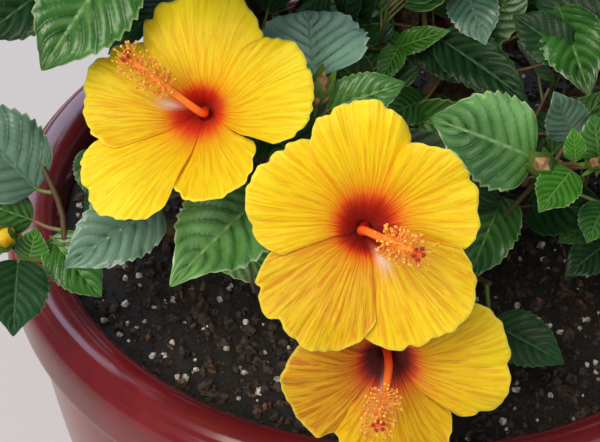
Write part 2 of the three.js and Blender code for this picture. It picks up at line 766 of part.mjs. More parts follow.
function insideCrown(point) {
  const [x, y, z] = crownMiddle;
  const rise = point.z > z ? crownRise : crownDrop;
  const share = [(point.x - x) / crownReach[0], (point.y - y) / crownReach[1], (point.z - z) / rise];
  return Math.hypot(...share) < 1;
}

// A mass keeps to the part of the crown that lies nearer to its own heart than to any other.
function insideCell(point, mass, hearts) {
  const own = hearts.get(mass.name);
  for (const [name, heart] of hearts) {
    if (name === mass.name) continue;
    const towards = heart.clone().sub(own);
    const reach = point.clone().sub(own).dot(towards) / towards.length();
    if (reach > towards.length() / 2 - cellMargin) return false;
  }
  return true;
}

function growMass(mass, seed, space) {
  const draw = seededDraw(seed);
  const stem = space.stems.find((each) => each.mass === mass.name);
  const allowed = (point) => insideCrown(point) && insideCell(point, mass, space.hearts)
    && !blocksView(point, space.inView)
    && !space.rods.some((rod) => rod.owner !== mass.name && hitsRod(point, rod))
    && !blooms.some((bloom) => hitsBloom(point, bloom));
  const twigs = [{ points: stem.points, radii: stemRadii, leafSpan: stemLeafSpan }];
  for (let k = 0; k < mass.sideTwigs; k++) {
    const share = THREE.MathUtils.lerp(sideTwigSpan[0], sideTwigSpan[1], (k + 0.5) / mass.sideTwigs);
    const turn = k * goldenAngle + draw();
    const { longest, lessTowardsTip, spread } = sideTwigLength;
    const length = longest - lessTowardsTip * share + spread * draw();
    const points = sideTwigPath(stem.points, share, turn, length, allowed);
    if (points.length > 2) {
      twigs.push({ points, radii: sideTwigRadii, leafSpan: sideTwigLeafSpan });
    }
  }
  const leaves = [];
  twigs.forEach((twig) => {
    twig.leaves = addLeaves(twig, leaves, draw, allowed, space);
    leaves.push(...twig.leaves);
  });
  return twigs;
}

// A side twig leaves the stem at an angle and curves up. It stops short where it has no room.
function sideTwigPath(stemPoints, share, turn, length, allowed) {
  const start = pointAt(stemPoints, share);
  const direction = along(stemPoints, Math.round(share * (stemPoints.length - 1)));
  const [level, rising] = squareTo(direction);
  const way = level.multiplyScalar(Math.cos(turn)).addScaledVector(rising, Math.sin(turn))
    .multiplyScalar(sideTwigOut).addScaledVector(direction, sideTwigAhead).normalize();
  const points = [start];
  for (let i = 1; i <= sideTwigSteps; i++) {
    way.z += sideTwigLift;
    way.normalize();
    const next = points[i - 1].clone().addScaledVector(way, length / sideTwigSteps);
    const between = [0.2, 0.4, 0.6, 0.8, 1].map((part) => points[i - 1].clone().lerp(next, part));
    if (!between.every(allowed)) break;
    points.push(next);
  }
  return points;
}

// Leaves turn round the twig by the golden angle, and one ends it.
function addLeaves(twig, before, draw, allowed, space) {
  const leaves = [];
  const [first, last] = twig.leafSpan;
  const length = twig.points[0].distanceTo(twig.points.at(-1));
  const count = Math.floor((length * (1 - first)) / leafSpacing) + 2;
  const phase = draw() * 2 * Math.PI;
  for (let i = 0; i < count; i++) {
    const share = first + ((last - first) * i) / (count - 1);
    const lean = i === count - 1 ? endLeafLean : leafLean;
    const size = THREE.MathUtils.lerp(leafLength[0], leafLength[1], draw());
    const droop = THREE.MathUtils.lerp(leafDroop[0], leafDroop[1], draw());
    for (let attempt = 0; attempt < leafAttempts; attempt++) {
      const turn = phase + i * goldenAngle + attempt * retryTurn;
      const leaf = leafOn(twig, share, turn, lean, size * Math.pow(retryShrink, attempt), droop);
      if (leafFits(leaf, allowed, [...space.faceLeaves, ...before, ...leaves])) {
        leaves.push(leaf);
        break;
      }
    }
  }
  return leaves;
}

function leafOn(twig, share, turn, lean, size, droop) {
  const root = pointAt(twig.points, share);
  const direction = along(twig.points, Math.round(share * (twig.points.length - 1)));
  const [level, rising] = squareTo(direction);
  const way = level.multiplyScalar(Math.cos(turn)).addScaledVector(rising, Math.sin(turn))
    .addScaledVector(direction, lean).normalize();
  const foot = root.clone().addScaledVector(way, petioleLength);
  const bladeWay = way.clone().add(new THREE.Vector3(0, 0, -droop)).normalize();
  const tip = foot.clone().addScaledVector(bladeWay, size);
  const outward = foot.clone().sub(vec(crownMiddle)).normalize();
  const face = new THREE.Vector3(0, 0, leafFaceUp).add(outward).normalize();
  return { share, root, foot, tip, face, width: size * leafWidthShare };
}

// A leaf fits where nothing is in the way of its blade, from its root to its widest place and tip.
function leafFits(leaf, allowed, others) {
  const across = bladeAcross(leaf);
  const widest = leaf.foot.clone().lerp(leaf.tip, leafWidest);
  const isClear = (middle, half) => [-1, -0.5, 0, 0.5, 1].every((side) => {
    const point = middle.clone().addScaledVector(across, side * half);
    return allowed(point) && !others.some((other) => hitsLeaf(point, other));
  });
  const half = leaf.width / 2;
  const widens = [0.25, 0.5, 0.75, 1].every(
    (share) => isClear(leaf.root.clone().lerp(widest, share), share * half));
  return widens && [0.2, 0.4, 0.6, 0.8, 1].every(
    (share) => isClear(widest.clone().lerp(leaf.tip, share), (1 - share) * half));
}

// Face leaves turn their upper side to the onlooker and the light.
function makeFaceLeaf(entry, stemPoints, mass) {
  const foot = vec(entry.foot);
  const tip = vec(entry.tip);
  const towards = vec(onlooker).sub(foot).normalize();
  const face = towards.add(new THREE.Vector3(0, 0, faceLeafLift)).normalize();
  const petiole = petioleTo(foot, stemPoints);
  return { share: faceLeafShare, foot, tip, face, width: entry.width, mass, petiole };
}

// A petiole springs from the stem a little below the leaf that it carries.
function petioleTo(foot, stemPoints) {
  let start = pointAt(stemPoints, petioleLowest);
  for (let i = 5; i <= 20; i++) {
    const point = pointAt(stemPoints, i / 20.5);
    const raised = point.clone().add(new THREE.Vector3(0, 0, petioleRise));
    if (raised.distanceTo(foot) < start.distanceTo(foot)) {
      start = point;
    }
  }
  const middle = start.clone().lerp(foot, 0.5);
  middle.z -= petioleSag * start.distanceTo(foot);
  return smoothPath([start, middle, foot], 3);
}

function massSolid(mass, twigs, space) {
  const solids = twigs.map((twig) => toSolid(leafyTwig(twig.points, twig.radii, twig.leaves)));
  for (const leaf of space.faceLeaves.filter((each) => each.mass === mass.name)) {
    solids.push(toSolid(leafyTwig(leaf.petiole, [petioleRadius, petioleRadius], [leaf])));
  }
  for (const stalk of space.budStalks.filter((each) => each.mass === mass.name)) {
    solids.push(toSolid(leafyTwig(stalk.points, [petioleRadius, petioleRadius], [])));
    solids.push(budSolid(stalk.bud));
  }
  return mainBody(fuse(solids));
}

// Petals as one closed shell: the outline swells and the edge lifts from petal to petal.
function corollaGeometry() {
  const columns = petals * stepsPerPetal;
  const cone = THREE.MathUtils.degToRad(petalCone);
  const rings = [
    { radius: throatRadius, height: -throatDepth, ruffled: 0 },
    { ...eyeRing, ruffled: 0 },
    { radius: petalMiddle, height: petalMiddle / Math.tan(cone), ruffled: 0.35 },
    { radius: petalLength * Math.sin(cone), height: petalLength * Math.cos(cone), ruffled: 1 },
  ];
  const points = [];
  for (const shift of [0, -petalThickness]) {
    for (const ring of rings) {
      for (let k = 0; k < columns; k++) {
        const within = (k % stepsPerPetal) / stepsPerPetal;
        const angle = Math.PI / 2 - (2 * Math.PI * (k - stepsPerPetal / 2)) / columns;
        const radius = ring.radius * (1 + ring.ruffled * petalSwell * (Math.sin(Math.PI * within) - 0.7));
        const height = ring.height + ring.ruffled * petalRuffle * (1 - 2 * within) + shift;
        points.push(new THREE.Vector3(Math.cos(angle) * radius, Math.sin(angle) * radius, height));
      }
    }
  }
  const faces = [];
  const back = rings.length * columns;
  for (let k = 0; k < columns; k++) {
    const next = (k + 1) % columns;
    for (let j = 0; j < rings.length - 1; j++) {
      const [a, b] = [j * columns + k, j * columns + next];
      const [c, d] = [a + columns, b + columns];
      faces.push([a, d, b], [a, c, d]);
      faces.push([back + a, back + b, back + d], [back + a, back + d, back + c]);
    }
    const rim = (rings.length - 1) * columns;
    faces.push([rim + k, back + rim + k, back + rim + next]);
    faces.push([rim + k, back + rim + next, rim + next]);
  }
  for (let k = 1; k < columns - 1; k++) {
    faces.push([0, k, k + 1], [back, back + k + 1, back + k]);
  }
  return fromPoints(points, faces);
}

// The bloom's own frame: x to the right and y up as one looks into it, z out of its eye.
function bloomFrame(bloom) {
  const axis = vec(bloom.axis).normalize();
  const right = new THREE.Vector3().crossVectors(upward, axis).normalize();
  const up = new THREE.Vector3().crossVectors(axis, right);
  return new THREE.Matrix4().makeBasis(right, up, axis).setPosition(vec(bloom.eye))
    .multiply(new THREE.Matrix4().makeRotationZ(-THREE.MathUtils.degToRad(bloom.roll)));
}

// The column is slender up to its anthers, which swell round its far end.
function columnRadiusAt(share) {
  if (share <= antherStart) return columnRadius;
  const swell = Math.sin((Math.PI * (1.02 - share)) / (1.04 - antherStart));
  return Math.max(antherRadius * swell, columnTip);
}

// The shoot swells into the calyx that holds the petals.
function stalkSolid(bloom, shoot) {
  const axis = vec(bloom.axis).normalize();
  const calyxMiddle = vec(bloom.eye).addScaledVector(axis, -throatDepth);
  const calyxEnd = calyxMiddle.clone().addScaledVector(axis, calyxLength);
  const path = [...shoot.points, calyxMiddle, calyxEnd];
  const radii = [...shoot.points.map(() => shootRadius + 0.2), calyxRadius * 0.8, calyxRadius * 1.1];
  const radiusAt = (share) => radii[Math.round(share * (radii.length - 1))];
  return toSolid(limbGeometry(path, radiusAt, shootSides));
}

function bloomSolid(bloom, shoot) {
  const axis = vec(bloom.axis).normalize();
  const eye = vec(bloom.eye);
  const corolla = toSolid(corollaGeometry().applyMatrix4(bloomFrame(bloom)));
  const foot = eye.clone().addScaledVector(axis, -throatDepth + 1);
  const knee = eye.clone().addScaledVector(axis, columnKnee);
  const columnEnd = eye.clone().add(vec(bloom.column));
  const columnPath = smoothPath([foot, knee, columnEnd], 4);
  const column = toSolid(limbGeometry(columnPath, columnRadiusAt, columnSides));
  return mainBody(fuse([corolla, column, stalkSolid(bloom, shoot)]));
}

function growPlant() {
  const shrub = new THREE.Group();
  shrub.add(toMesh('pot', makePot(), glaze));
  shrub.add(toMesh('soil', makeSoil(), soilMix));
  shrub.add(toMesh('trunk', toSolid(trunkGeometry(0)), bark));
  const madeLimbs = makeLimbs();
  madeLimbs.forEach((limb) => shrub.add(toMesh(limb.name, limb.solid, bark)));
  const limbOf = (item) => madeLimbs.find((limb) => limb.name === item.bough);
  const stems = masses.map((mass) => ({
    mass: mass.name,
    points: stemPath(mass, limbOf(mass), blooms.find((bloom) => bloom.bough === mass.bough)),
  }));
  const shoots = blooms.map((bloom) => ({
    bloom: bloom.name,
    points: shootPath(bloom, limbOf(bloom), masses.find((mass) => mass.bough === bloom.bough)),
  }));
  const faceLeaves = masses.flatMap((mass, i) => mass.faceLeaves.map(
    (entry) => makeFaceLeaf(entry, stems[i].points, mass.name)));
  const budStalks = masses.flatMap((mass, i) => mass.buds.map(
    (bud) => ({ bud, mass: mass.name, points: petioleTo(vec(bud.foot), stems[i].points) })));
  const petioles = [
    ...faceLeaves.map((leaf) => ({ points: leaf.petiole, mass: leaf.mass })),
    ...budStalks,
  ];
  const faceLeavesInView = faceLeaves.map(
    (leaf) => ({ at: leaf.foot.clone().lerp(leaf.tip, 0.5), radius: leaf.width / 2 }));
  const space = {
    stems,
    hearts: new Map(masses.map((mass, i) => [mass.name, pointAt(stems[i].points, heartShare)])),
    inView: [...placesInView(), ...faceLeavesInView],
    rods: makeRods(madeLimbs, stems, shoots, petioles),
    faceLeaves,
    budStalks,
  };
  masses.forEach((mass, i) => {
    const twigs = growMass(mass, firstSeed + seedStep * i, space);
    shrub.add(toMesh(mass.name, massSolid(mass, twigs, space), leafGreen));
  });
  blooms.forEach((bloom, i) => {
    shrub.add(toMesh(bloom.name, bloomSolid(bloom, shoots[i]), petalYellow));
  });
  return shrub;
}

export default growPlant();
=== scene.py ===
# A hibiscus shrub in bloom in a glazed planter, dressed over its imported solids.
# The tables are in millimetres, and every mesh is made in metres.
import json
import math

import bpy
import numpy as np
from mathutils import Matrix, Vector, noise

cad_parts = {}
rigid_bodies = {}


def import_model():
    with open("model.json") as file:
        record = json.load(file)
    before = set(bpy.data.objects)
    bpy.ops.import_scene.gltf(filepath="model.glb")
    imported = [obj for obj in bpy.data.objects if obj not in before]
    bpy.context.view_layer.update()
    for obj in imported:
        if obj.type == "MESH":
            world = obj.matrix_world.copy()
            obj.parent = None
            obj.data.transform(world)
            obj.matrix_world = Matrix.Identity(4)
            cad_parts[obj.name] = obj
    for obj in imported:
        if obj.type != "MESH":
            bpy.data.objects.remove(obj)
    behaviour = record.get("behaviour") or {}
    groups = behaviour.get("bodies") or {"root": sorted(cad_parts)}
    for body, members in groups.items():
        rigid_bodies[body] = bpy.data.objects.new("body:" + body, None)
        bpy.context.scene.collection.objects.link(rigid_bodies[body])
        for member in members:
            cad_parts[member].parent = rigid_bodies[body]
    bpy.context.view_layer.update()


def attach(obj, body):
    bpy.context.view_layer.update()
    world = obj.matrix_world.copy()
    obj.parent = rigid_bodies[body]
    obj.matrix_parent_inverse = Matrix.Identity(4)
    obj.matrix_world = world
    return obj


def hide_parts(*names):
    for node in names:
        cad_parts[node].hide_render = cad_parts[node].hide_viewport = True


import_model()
mm = 0.001
fullTurn = 2 * math.pi
goldenAngle = math.pi * (3 - math.sqrt(5))
upward = np.array([0.0, 0.0, 1.0])


# Small helpers.

def linearColour(hexText):
    channels = [int(hexText[i:i + 2], 16) / 255 for i in (1, 3, 5)]
    return (*[c / 12.92 if c <= 0.04045 else ((c + 0.055) / 1.055) ** 2.4 for c in channels], 1.0)


def perMetre(width):  # a pattern's scale, from the width in millimetres of what it shows
    return 1 / (width * mm)


def setSockets(node, sockets):  # a node or a socket is linked, and anything else is a value
    for name, given in sockets.items():
        if isinstance(given, bpy.types.Node):
            given = next(output for output in given.outputs if output.enabled)
        if isinstance(given, bpy.types.NodeSocket):
            node.id_data.links.new(given, node.inputs[name])
        else:
            isColour = isinstance(given, str) and given.startswith("#")
            node.inputs[name].default_value = linearColour(given) if isColour else given


def setStops(ramp, stops):
    elements = ramp.color_ramp.elements
    while len(elements) < len(stops):
        elements.new(0.5)
    for element, (place, colour) in zip(elements, stops):
        element.position = place
        element.color = linearColour(colour)


def addNode(tree, kind, sockets=None, stops=(), **settings):
    node = tree.nodes.new(kind)
    for name, value in settings.items():
        setattr(node, name, value)
    if stops:
        setStops(node, stops)
    setSockets(node, sockets or {})
    return node


def newFinish(name, look):
    finish = bpy.data.materials.new(name)
    finish.use_nodes = True
    shader = finish.node_tree.nodes["Principled BSDF"]
    setSockets(shader, look)
    return finish, finish.node_tree, shader


def unit(v):
    return v / max(np.linalg.norm(v), 1e-9)


def lerp(span, share):
    return span[0] + (span[1] - span[0]) * share


def drawn(pair, draw):  # a least value and the most that chance adds
    return pair[0] + pair[1] * draw()


def swing(level, rising, turn):  # the way at an angle from level towards rising
    return level * math.cos(turn) + rising * math.sin(turn)


def newPiece(name, points, faces=(), finish=None, smooth=True, edges=()):
    mesh = bpy.data.meshes.new(name)
    mesh.from_pydata((np.asarray(points, float) * mm).tolist(), edges, faces)
    mesh.polygons.foreach_set("use_smooth", [smooth] * len(mesh.polygons))
    if finish:
        mesh.materials.append(finish)
    piece = bpy.data.objects.new(name, mesh)
    bpy.context.scene.collection.objects.link(piece)
    return piece


def setMap(piece, name, cornerUv):
    layer = piece.data.uv_layers.new(name=name)
    loops = np.zeros(len(piece.data.loops), np.int32)
    piece.data.loops.foreach_get("vertex_index", loops)
    layer.data.foreach_set("uv", np.asarray(cornerUv, float)[loops].ravel())


def setAttribute(piece, name, values, kind="FLOAT", field="value"):
    attribute = piece.data.attributes.new(name, kind, "POINT")
    attribute.data.foreach_set(field, np.asarray(values, np.float32).ravel())


def dress(piece, nodes=()):
    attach(piece, "root")
    if nodes:
        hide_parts(*nodes)


# A Catmull-Rom curve through the points, as the solids' limbs and stems have.
def smoothPath(points, steps):
    points = np.array(points, float)
    ends = np.vstack([2 * points[0] - points[1], points, 2 * points[-1] - points[-2]])
    path = []
    for i in range(steps + 1):
        place = i / steps * (len(points) - 1)
        k = min(int(place), len(points) - 2)
        t = place - k
        before, start, end, after = ends[k:k + 4]
        path.append(start * (2 * t**3 - 3 * t**2 + 1) + end * (3 * t**2 - 2 * t**3)
                    + (end - before) / 2 * (t**3 - 2 * t**2 + t)
                    + (after - start) / 2 * (t**3 - t**2))
    return np.array(path)


def alongAt(points, i):
    return unit(points[min(i + 1, len(points) - 1)] - points[max(i - 1, 0)])


def pointAt(points, share):
    place = share * (len(points) - 1)
    i = min(int(place), len(points) - 2)
    return points[i] + (points[i + 1] - points[i]) * (place - i)


def squareTo(direction):  # a level way across it, and the rising one square to both
    level = np.cross(direction, upward)
    if np.linalg.norm(level) < 0.05:
        level = np.array([1.0, 0.0, 0.0])
    level = unit(level)
    return level, unit(np.cross(level, direction))


def waysAt(points, share):
    direction = alongAt(points, round(share * (len(points) - 1)))
    return pointAt(points, share), direction, *squareTo(direction)


def turnTo(forward, face):  # Euler angles that lay a shape's X along forward and its Z towards face
    forward = unit(forward)
    side = unit(np.cross(face, forward))
    return tuple(Matrix(np.array([forward, side, np.cross(forward, side)]).T.tolist()).to_euler())


def gridFaces(rows, columns, closed=False):  # quads between rows of points
    faces = []
    for i in range(rows - 1):
        for j in range(columns if closed else columns - 1):
            a, b = i * columns + j, i * columns + (j + 1) % columns
            faces.append((a, b, b + columns, a + columns))
    return faces


def ringOf(radius, height, sides):
    angles = [fullTurn * k / sides for k in range(sides)]
    return [(radius * math.cos(angle), radius * math.sin(angle), height) for angle in angles]


def turnedFaces(rings, sides):  # a first point, rings round an axis, and a last point
    first, last = 1 + (rings - 1) * sides, 1 + rings * sides
    faces = [tuple(k + 1 for k in face) for face in gridFaces(rings, sides, closed=True)]
    for k in range(sides):
        faces += [(0, 1 + (k + 1) % sides, 1 + k), (last, first + k, first + (k + 1) % sides)]
    return faces


def ballSurface(rings, sides, radiusAt):  # a closed shape turned about Z from 0 to 1
    points = [(0, 0, 0)]
    for i in range(1, rings):
        for k in range(sides):
            angle = fullTurn * k / sides
            radius = radiusAt(i / rings, angle)
            points.append((radius * math.cos(angle), radius * math.sin(angle), i / rings))
    return np.array([*points, (0, 0, 1)], float), turnedFaces(rings - 1, sides)


def flipped(faces):  # the same faces, pointing the other way
    return [face[::-1] for face in faces]


def addTo(points, faces, newPoints, newFaces):
    faces.extend(tuple(k + len(points) for k in face) for face in newFaces)
    points.extend(newPoints)


# Geometry Nodes trees. Each has named inputs and ends in realized geometry with its finish.

def startTree(name, inputs):
    tree = bpy.data.node_groups.new(name, "GeometryNodeTree")
    for label, kind in {"Geometry": "Geometry", **inputs, "Finish": "Material"}.items():
        tree.interface.new_socket(label, in_out="INPUT", socket_type="NodeSocket" + kind)
    tree.interface.new_socket("Geometry", in_out="OUTPUT", socket_type="NodeSocketGeometry")
    return tree, addNode(tree, "NodeGroupInput").outputs


def endTree(tree, given, geometry):
    solid = addNode(tree, "GeometryNodeRealizeInstances", {"Geometry": geometry})
    painted = addNode(tree, "GeometryNodeSetMaterial", {"Geometry": solid, "Material": given["Finish"]})
    addNode(tree, "NodeGroupOutput", {"Geometry": painted})
    return tree


def makeTubeTree():  # edges become round tubes whose radius is the point's girth
    tree, given = startTree("tubesAlongEdges", {"Sides": "Int"})
    curve = addNode(tree, "GeometryNodeMeshToCurve", {"Mesh": given["Geometry"]})
    ring = addNode(tree, "GeometryNodeCurvePrimitiveCircle", {"Resolution": given["Sides"], "Radius": 1.0})
    girth = addNode(tree, "GeometryNodeInputNamedAttribute", {"Name": "girth"}, data_type="FLOAT")
    tube = addNode(tree, "GeometryNodeCurveToMesh",
                   {"Curve": curve, "Profile Curve": ring, "Scale": girth, "Fill Caps": True})
    return endTree(tree, given, addNode(tree, "GeometryNodeSetShadeSmooth", {"Geometry": tube}))


def endWithShapes(tree, given, points, turn, scale):  # one of the collection's shapes stands on each point
    shapes = addNode(tree, "GeometryNodeCollectionInfo",
                     {"Collection": given["Shapes"], "Separate Children": True, "Reset Children": True})
    pick = addNode(tree, "FunctionNodeRandomValue", {4: 0, 5: 11, "Seed": given["Seed"]}, data_type="INT")
    rotation = addNode(tree, "FunctionNodeEulerToRotation", {0: turn})
    stood = addNode(tree, "GeometryNodeInstanceOnPoints",
                    {"Points": points, "Instance": shapes, "Pick Instance": True, "Instance Index": pick,
                     "Rotation": rotation, "Scale": scale})
    return endTree(tree, given, stood)


def makeSprayTree():  # shapes on points, turned and sized by the points' own attributes
    tree, given = startTree("shapesOnPoints", {"Shapes": "Collection", "Variation": "Float", "Seed": "Int"})
    turn, size = [addNode(tree, "GeometryNodeInputNamedAttribute", {"Name": name}, data_type="FLOAT_VECTOR")
                  for name in ("turn", "size")]
    less, more = [addNode(tree, "ShaderNodeMath", {0: 1.0, 1: given["Variation"]}, operation=operation)
                  for operation in ("SUBTRACT", "ADD")]
    vary = addNode(tree, "FunctionNodeRandomValue", {2: less, 3: more, "Seed": given["Seed"]},
                   data_type="FLOAT")
    scale = addNode(tree, "ShaderNodeVectorMath", {0: size, "Scale": vary}, operation="SCALE")
    return endWithShapes(tree, given, given["Geometry"], turn, scale)


def makeScatterTree():  # shapes lie at random on a surface, in drifts
    tree, given = startTree("shapesOnSurface", {"Shapes": "Collection", "PerSquareMetre": "Float",
                                                "Smallest": "Float", "Largest": "Float", "Seed": "Int"})
    drift = addNode(tree, "ShaderNodeTexNoise", {"W": given["Seed"], "Scale": perMetre(62.5), "Detail": 1.0},
                    noise_dimensions="4D")
    gathered = addNode(tree, "ShaderNodeMapRange",
                       {"Value": drift, "From Min": 0.35, "From Max": 0.65, "To Min": 0.15})
    density = addNode(tree, "ShaderNodeMath", {0: gathered, 1: given["PerSquareMetre"]}, operation="MULTIPLY")
    spots = addNode(tree, "GeometryNodeDistributePointsOnFaces",
                    {"Mesh": given["Geometry"], "Density": density, "Seed": given["Seed"]})
    turn = addNode(tree, "FunctionNodeRandomValue", {1: (6.28, 6.28, 6.28), "Seed": given["Seed"]},
                   data_type="FLOAT_VECTOR")
    size = addNode(tree, "FunctionNodeRandomValue",
                   {2: given["Smallest"], 3: given["Largest"], "Seed": given["Seed"]}, data_type="FLOAT")
    return endWithShapes(tree, given, spots, turn, size)


tubeTree = makeTubeTree()
sprayTree = makeSprayTree()
scatterTree = makeScatterTree()


# Runs a tree on a piece and keeps the result as a plain mesh.
def grow(piece, tree, **values):
    modifier = piece.modifiers.new(tree.name, "NODES")
    modifier.node_group = tree
    for item in tree.interface.items_tree:
        if item.in_out == "INPUT" and item.name in values:
            modifier[item.identifier] = values[item.name]
    evaluated = piece.evaluated_get(bpy.context.evaluated_depsgraph_get())
    made = bpy.data.meshes.new_from_object(evaluated)
    piece.modifiers.remove(modifier)
    piece.data = made
    made.name = piece.name
    return piece


def newShapes(name, pieces):
    shapes = bpy.data.collections.new(name)
    for piece in pieces:
        bpy.context.scene.collection.objects.unlink(piece)
        shapes.objects.link(piece)
    return shapes


def makeTubes(name, tubes, sides, finish):
    points, edges, girths, shares = [], [], [], []
    for path, thick, thin in tubes:
        first, count = len(points), len(path)
        points.extend(path)
        edges.extend((first + i, first + i + 1) for i in range(count - 1))
        girths.extend(np.linspace(thick, thin, count) * mm)
        shares.extend(np.linspace(0, 1, count))
    piece = newPiece(name, points, edges=edges)
    setAttribute(piece, "girth", girths)
    setAttribute(piece, "share", shares)
    return grow(piece, tubeTree, Sides=sides, Finish=finish)


def makeSpray(name, places, turns, sizes, shapes, finish, variation=0.0, seed=1):
    piece = newPiece(name, places)
    setAttribute(piece, "turn", turns, "FLOAT_VECTOR", "vector")
    setAttribute(piece, "size", sizes, "FLOAT_VECTOR", "vector")
    return grow(piece, sprayTree, Shapes=shapes, Variation=variation, Seed=seed, Finish=finish)


# The limbs, as the solids have them: where each bough ends, and how thick it is at both ends.
trunk = {"foot": (5, 8, 344.3), "middle": (3, 8, 366), "top": (-1, 13, 398),
         "radius": 15.5, "taper": 2.5, "flare": 11, "ridges": 5, "ridgeDepth": 0.22}
boughs = {
    "bough_left": ((-158, -100, 404), (8.5, 4.6)),
    "bough_front_left": ((-98, -78, 428), (8.0, 5.2)),
    "bough_front": ((-44, -82, 436), (7.6, 5.4)),
    "bough_front_low": ((2, -92, 388), (7.2, 5.4)),
    "bough_right_front": ((70, -78, 428), (8.0, 4.8)),
    "bough_inner": ((22, -2, 446), (7.0, 4.6)),
    "bough_upper_left": ((-112, -20, 506), (8.4, 4.8)),
    "bough_left_back": ((-148, 30, 448), (7.8, 4.6)),
    "bough_right": ((152, -30, 452), (8.6, 5.4)),
    "bough_right_back": ((116, 104, 474), (8.4, 4.8)),
    "bough_back": ((-8, 146, 470), (8.2, 5.4)),
    "bough_back_left": ((-118, 98, 472), (8.2, 5.4)),
    "bough_right_low": ((124, -84, 400), (7.6, 4.6)),
    "bough_right_side": ((148, 42, 420), (7.8, 4.6)),
    "bough_back_right": ((66, 142, 424), (7.6, 4.6)),
    "bough_back_low": ((-84, 134, 422), (7.6, 4.6)),
    "leader": ((8, 42, 572), (9.5, 5.4)),
    "bough_upper_right": ((88, 32, 548), (8.0, 4.8)),
    "bough_upper_back": ((-58, 104, 560), (7.8, 4.6)),
}

# The masses of leaves: the bough each grows on from, its side twigs, and its stem's points.
masses = {
    "leaves_left": ("bough_left", 4, [(-187, -141, 419), (-192, -129, 448), (-206, -112, 476)]),
    "leaves_front_left": ("bough_front_left", 4, [(-116, -100, 440), (-140, -112, 448)]),
    "leaves_front": ("bough_front", 3, [(-52, -98, 468), (-54, -112, 498)]),
    "leaves_low_right": ("bough_front_low", 3, [(26, -118, 396), (44, -140, 402)]),
    "leaves_right_front": ("bough_right_front", 5, [(74, -100, 448), (78, -122, 474)]),
    "leaves_inner": ("bough_inner", 4, [(14, 8, 470), (10, 16, 500)]),
    "leaves_upper_left": ("bough_upper_left", 5, [(-138, -52, 560), (-152, -62, 606)]),
    "leaves_left_back": ("bough_left_back", 6, [(-184, 40, 484), (-206, 48, 524)]),
    "leaves_right": ("bough_right", 5, [(190, -46, 480), (212, -52, 520)]),
    "leaves_right_back": ("bough_right_back", 5, [(152, 134, 510), (170, 150, 550)]),
    "leaves_back": ("bough_back", 5, [(-6, 184, 506), (0, 206, 548)]),
    "leaves_back_left": ("bough_back_left", 5, [(-158, 120, 506), (-178, 128, 546)]),
    "leaves_right_low": ("bough_right_low", 4, [(160, -116, 414), (184, -132, 446)]),
    "leaves_right_side": ("bough_right_side", 4, [(192, 52, 440), (224, 58, 472)]),
    "leaves_back_right": ("bough_back_right", 4, [(92, 190, 436), (108, 212, 462)]),
    "leaves_back_low": ("bough_back_low", 4, [(-112, 178, 436), (-128, 200, 464)]),
    "leaves_top": ("leader", 5, [(4, 50, 624), (-2, 52, 668)]),
    "leaves_upper_right": ("bough_upper_right", 5, [(118, 24, 590), (138, 16, 628)]),
    "leaves_upper_back": ("bough_upper_back", 5, [(-78, 126, 606), (-88, 134, 644)]),
}

# The blooms. A petal is the angle it points at, clockwise from the top as one looks into the
# bloom, half its spread in degrees, its length, how much its tip rises, and how much painted shade darkens it
# to a deeper gold.
# A streak is the petal with the pale mark, and the mark's place across it.
evenPetals = [(0, 41, 62, -3, 0), (72, 41, 60, -4, 0.1), (144, 42, 62, -2, 0.3), (216, 41, 61, -3, 0.2),
              (288, 42, 60, -5, 0.1)]
# A bloom's throat tone is painted shade in its eye, darkest on the lowest bloom.
blooms = {
    "bloom_upper": {
        "bough": "bough_front_left", "eye": (-112, -135, 512), "axis": (-0.232, -0.597, 0.768),
        "column": (-34, -8, 43), "overlap": 1, "streak": (4, 0.1), "paintedEyeShade": 0.1,
        "throatShift": (-3, 6), "redShift": (-3, 1.5), "redScale": 1.08,
        "petals": [(347, 43, 65.5, -4, 0), (58, 40, 63, -3, 0), (146, 45, 47, -2, 0),
                   (211, 31, 70, -1.5, 0), (273, 41, 62, -2.5, 0.2)]},
    "bloom_middle": {
        "bough": "bough_front", "eye": (-29, -230, 523), "axis": (-0.073, -0.891, 0.448),
        "column": (18, -44, 19), "overlap": 1, "streak": (2, 0.28), "paintedEyeShade": 0.55,
        "throatShift": (-3, -6.5),
        "petals": [(352, 34, 58.5, -5, 0), (64, 47, 53, -4, 0.1), (145, 45, 62.5, -4, 0.3),
                   (213, 40, 65.5, -5, 0.55), (288, 40, 58.5, -3, 0.1)]},
    "bloom_lower": {
        "bough": "bough_front_low", "eye": (-18, -238, 435), "axis": (0, -0.966, 0.259),
        "column": (-6, -47, 10), "overlap": -1, "streak": (2, 0.29), "paintedEyeShade": 0.95,
        "throatShift": (0, 5),
        "petals": [(8, 44, 57, -4, 0.4), (73, 52, 61.5, -4, 0.25), (174, 47, 57, -6, 0.5),
                   (251, 47, 53.5, -7, 0.85), (318, 42, 52, -11, 1)]},
    "bloom_right": {
        "bough": "bough_right", "eye": (226, -120, 500), "axis": (0.72, -0.55, 0.42),
        "column": (38, -26, 30), "overlap": 1, "streak": (2, 0), "roll": 20, "petals": evenPetals},
    "bloom_back": {
        "bough": "bough_back", "eye": (58, 226, 520), "axis": (0.25, 0.86, 0.44),
        "column": (8, 46, 28), "overlap": -1, "streak": (3, 0), "roll": -8, "petals": evenPetals},
    "bloom_back_left": {
        "bough": "bough_back_left", "eye": (-206, 96, 584), "axis": (-0.74, 0.3, 0.6),
        "column": (-40, 10, 36), "overlap": 1, "streak": (2, 0), "roll": 30, "petals": evenPetals},
    "bloom_top": {
        "bough": "leader", "eye": (52, 20, 690), "axis": (0.34, -0.2, 0.92),
        "column": (22, -16, 48), "overlap": -1, "streak": (1, 0), "roll": 5, "petals": evenPetals},
}
